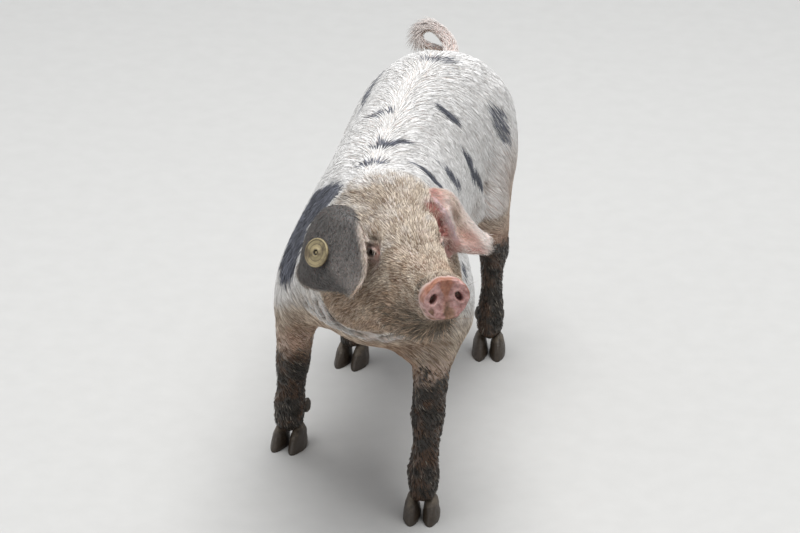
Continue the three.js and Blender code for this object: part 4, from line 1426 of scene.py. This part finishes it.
def coatPaint(start):
    along, tone = start.value("along"), start.value("tone")
    mark, mud, tan, blush, dark, grey, conchaRedAndShade = (start.value(tag) for tag in coatTags)
    black = (mark + (tone - 0.5) * 0.3 - tone.between(0.84, 0.92) * 0.4).between(0.34, 0.6)
    wet = (mud + (tone - 0.5) * 0.7).between(0.3, 0.6)
    earth = start.noise(52, 3, 0.5).between(0.45, 0.62).mixed((0.062, 0.05, 0.037), (0.13, 0.068, 0.035))
    earth = tone.between(0.9, 0.1).mixed(earth, (0.012, 0.009, 0.006))
    earth = tone.between(0.88, 0.97).mixed(earth, (0.27, 0.235, 0.195))
    colour = layered(tone.mixed((0.83, 0.82, 0.80), (0.98, 0.975, 0.965)), tone, [
        (tan.between(0.05, 0.5), (0.22, 0.145, 0.085), (0.90, 0.79, 0.65)),
        (tan.between(0.5, 1.0), (0.16, 0.092, 0.05), (0.74, 0.52, 0.35)),
        (blush * 0.68, (0.45, 0.24, 0.18), (0.80, 0.62, 0.52)),
        # painted shade towards the roots, most in tan hair
        (along.between(0.5, 0.0) * (0.06 + 0.8 * tan), (0.23, 0.155, 0.10), None),
        # dark hair, with painted shade in the throat's folds, the groove behind the disc and above the eyes
        (dark * 0.9, (0.035, 0.03, 0.022), (0.22, 0.185, 0.13)),
        (grey, (0.045, 0.042, 0.04), (0.20, 0.185, 0.17)),
        # the ear's deep red, deepened as painted shade in its hollows
        (conchaRedAndShade * 0.7, (0.22, 0.08, 0.06), (0.55, 0.36, 0.28)),
        (black, (0.055, 0.058, 0.072), (0.25, 0.26, 0.31)),
        (wet, earth, None),
    ])
    return {"Base Color": colour, "Roughness": 0.55 - 0.15 * wet + (tone - 0.5) * 0.1}


coatMaterial = newMaterial("coat", coatPaint)


def byFolds(spots):  # shorter hair beside the throat's folds
    return 0.32 + 0.68 * ease(nearLines(spots, folds), 4, 20)


def byEyes(spots, least):  # and towards the lids
    near = np.min([norm(toHead(spots) - centre) for centre in eyeCentres], axis=0)
    return least + (1 - least) * ease(near, 12, 25)


def earFlow(roots, ways):
    best = np.full(len(roots), 1e3)
    flow = np.zeros_like(roots)
    for ear in ears.values():
        fit = onLeaf(ear, roots, leaf["hair"])
        closer = fit["far"] < best
        flow[closer] = fit["toTip"][closer]
        best = np.minimum(best, fit["far"])
    return onSurface(flow, ways)


def lashFlow(roots, ways):
    spots = toHead(roots)
    near = np.where((spots[:, 1] < 0)[:, None], eyeCentres[0], eyeCentres[1])
    return onSurface((unit(spots - near) * (1, 1, 0.2) + np.array([0.2, 0, -0.5])) @ headAxes, ways)


where = masks(points)
inHead, inTail = where["head"], where["tail"]
s, t, v = where["headPoints"].T
offEar = 1 - ease(onEar, 0.05, 0.4)
offFolds = 1 - ease(nearLines(points, folds + foldFloors), 3.6, 2.2)
onLobe = ease(lobe, 14, 9)
bare = ease(paint["disc"], 0.6, 0.1) * ease(lidGap, 0.9, 2.4) * ease(corner, 1.5, 4.0)
highHair = ease(points[:, 2], 150, 185)
offHead = 1 - ease(inHead, 0.35, 0.65)
faceFur = ease(inHead, 0.35, 0.65) * bare * offEar * offFolds
faceFur = faceFur * (1 + 0.5 * ease(s, -20, 40)) * (1 - 0.7 * ease(hollow, 12, 8)) * (1 - onLobe)
tuftFur = ease(alongLine(points, curveThrough(tailLine, np.linspace(0.38, 0.66, 12)))[0], 7, 4)
rimFur = np.zeros(len(points))
for side, fit in earSpots.items():
    rim = np.maximum(ease(fit["u"], 0.93, 0.98), ease(fit["v"], 0.93, 0.98))
    rim = np.maximum(rim, ease(fit["u"], 0.07, 0.02) * (0.5 if side == "right" else 0.8))
    rimFur = np.maximum(rimFur, rim * ease(fit["weight"], 0.3, 0.8) * ease(fit["v"], 0.05, 0.2))
coats = {
    "coat_trunk": {
        "count": 53500, "length": (15, 25), "width": 0.9, "stand": (0.5, 1.5), "stray": 0.09,
        "lengthAt": lambda p: (1 - 0.35 * ease(p[:, 2], 250, 170)) * byFolds(p), "markAhead": True,
        "density": offFolds * offHead * (1 - inTail) * highHair * offEar,
    },
    "coat_legs": {
        "count": 11000, "length": (4.5, 8), "width": 1.05, "stand": (0.3, 1.2), "stray": 0.45, "rings": 3,
        "density": (1 - inHead) * (1 - inTail) * (1 - highHair) * ease(points[:, 2], 16, 30),
    },
    "coat_head": {
        "count": 24000, "length": (8, 13), "width": 0.72, "stand": (0.5, 1.9), "stray": 0.42,
        "lengthAt": lambda p: (0.55 + 0.5 * ease(toHead(p)[:, 0], 80, -40)) * byEyes(p, 0.4),
        "standAt": lambda p: (1 + 0.3 * ease(toHead(p)[:, 0], 10, -40)) * byEyes(p, 0.5),
        "density": faceFur,
    },
    "coat_tail": {
        "count": 1500, "length": (6, 10), "width": 0.6, "stand": (0.8, 2.4), "stray": 0.6, "rings": 3,
        "density": inTail,
    },
    "coat_ears": {
        "count": 9000, "length": (3.5, 6.5), "width": 0.42, "stand": (0.3, 1.2), "stray": 0.9, "rings": 3,
        "hug": False, "flow": earFlow, "density": ease(onEar, 0.1, 0.5) * (1 - 0.8 * onLobe),
    },
    "coat_tail_tuft": {
        "count": 420, "length": (10, 17), "width": 0.6, "stand": (2, 6), "stray": 0.9, "hug": False,
        "droop": (-0.3, 0, -0.5), "density": tuftFur * inTail,
    },
    "coat_ear_fringe": {
        "count": 1500, "length": (4, 8), "width": 0.4, "stand": (0.6, 2.6), "stray": 1.1, "rings": 3,
        "hug": False, "flow": earFlow, "density": rimFur,
    },
    "coat_beard": {
        "count": 900, "length": (9, 17), "width": 0.55, "stand": (2, 6), "stray": 0.9, "hug": False,
        "droop": (0, 0, -0.4), "wiry": 0.65, "density": inHead * ease(v, -20, -40) * ease(s, 20, 60) * bare,
    },
    "coat_whiskers": {
        "count": 90, "length": (16, 30), "width": 0.34, "stand": (6, 13), "stray": 1.6, "hug": False,
        "droop": (0, 0, -0.2), "wiry": 0.5, "density": inHead * bare * ease(s, 70, 95) * ease(v, 14, -6),
    },
    "coat_lashes": {
        "count": 80, "length": (5, 8), "width": 0.3, "stand": (3, 5), "stray": 0.6, "rings": 3, "hug": False,
        "flow": lashFlow, "droop": (0, 0, -0.35),
        "density": ease(lidGap, 0.2, 0.8) * ease(lidGap, 2.4, 1.7) * ease(v, 0.5, 2.0),
    },
}
for name, plan in coats.items():
    growCoat(name, plan)
count = sum(triangleCount(piece.data) for piece in bpy.data.objects if "coat_" in piece.name)
print("coat grown:", count, "triangles")

# The coat grew from the full skin. The skin itself is thinned to the limit for one piece.
skinObject.data = modified(skinObject, "DECIMATE", ratio=skin["triangles"] / len(triangles))
print("skin thinned:", triangleCount(skinObject.data), "triangles")
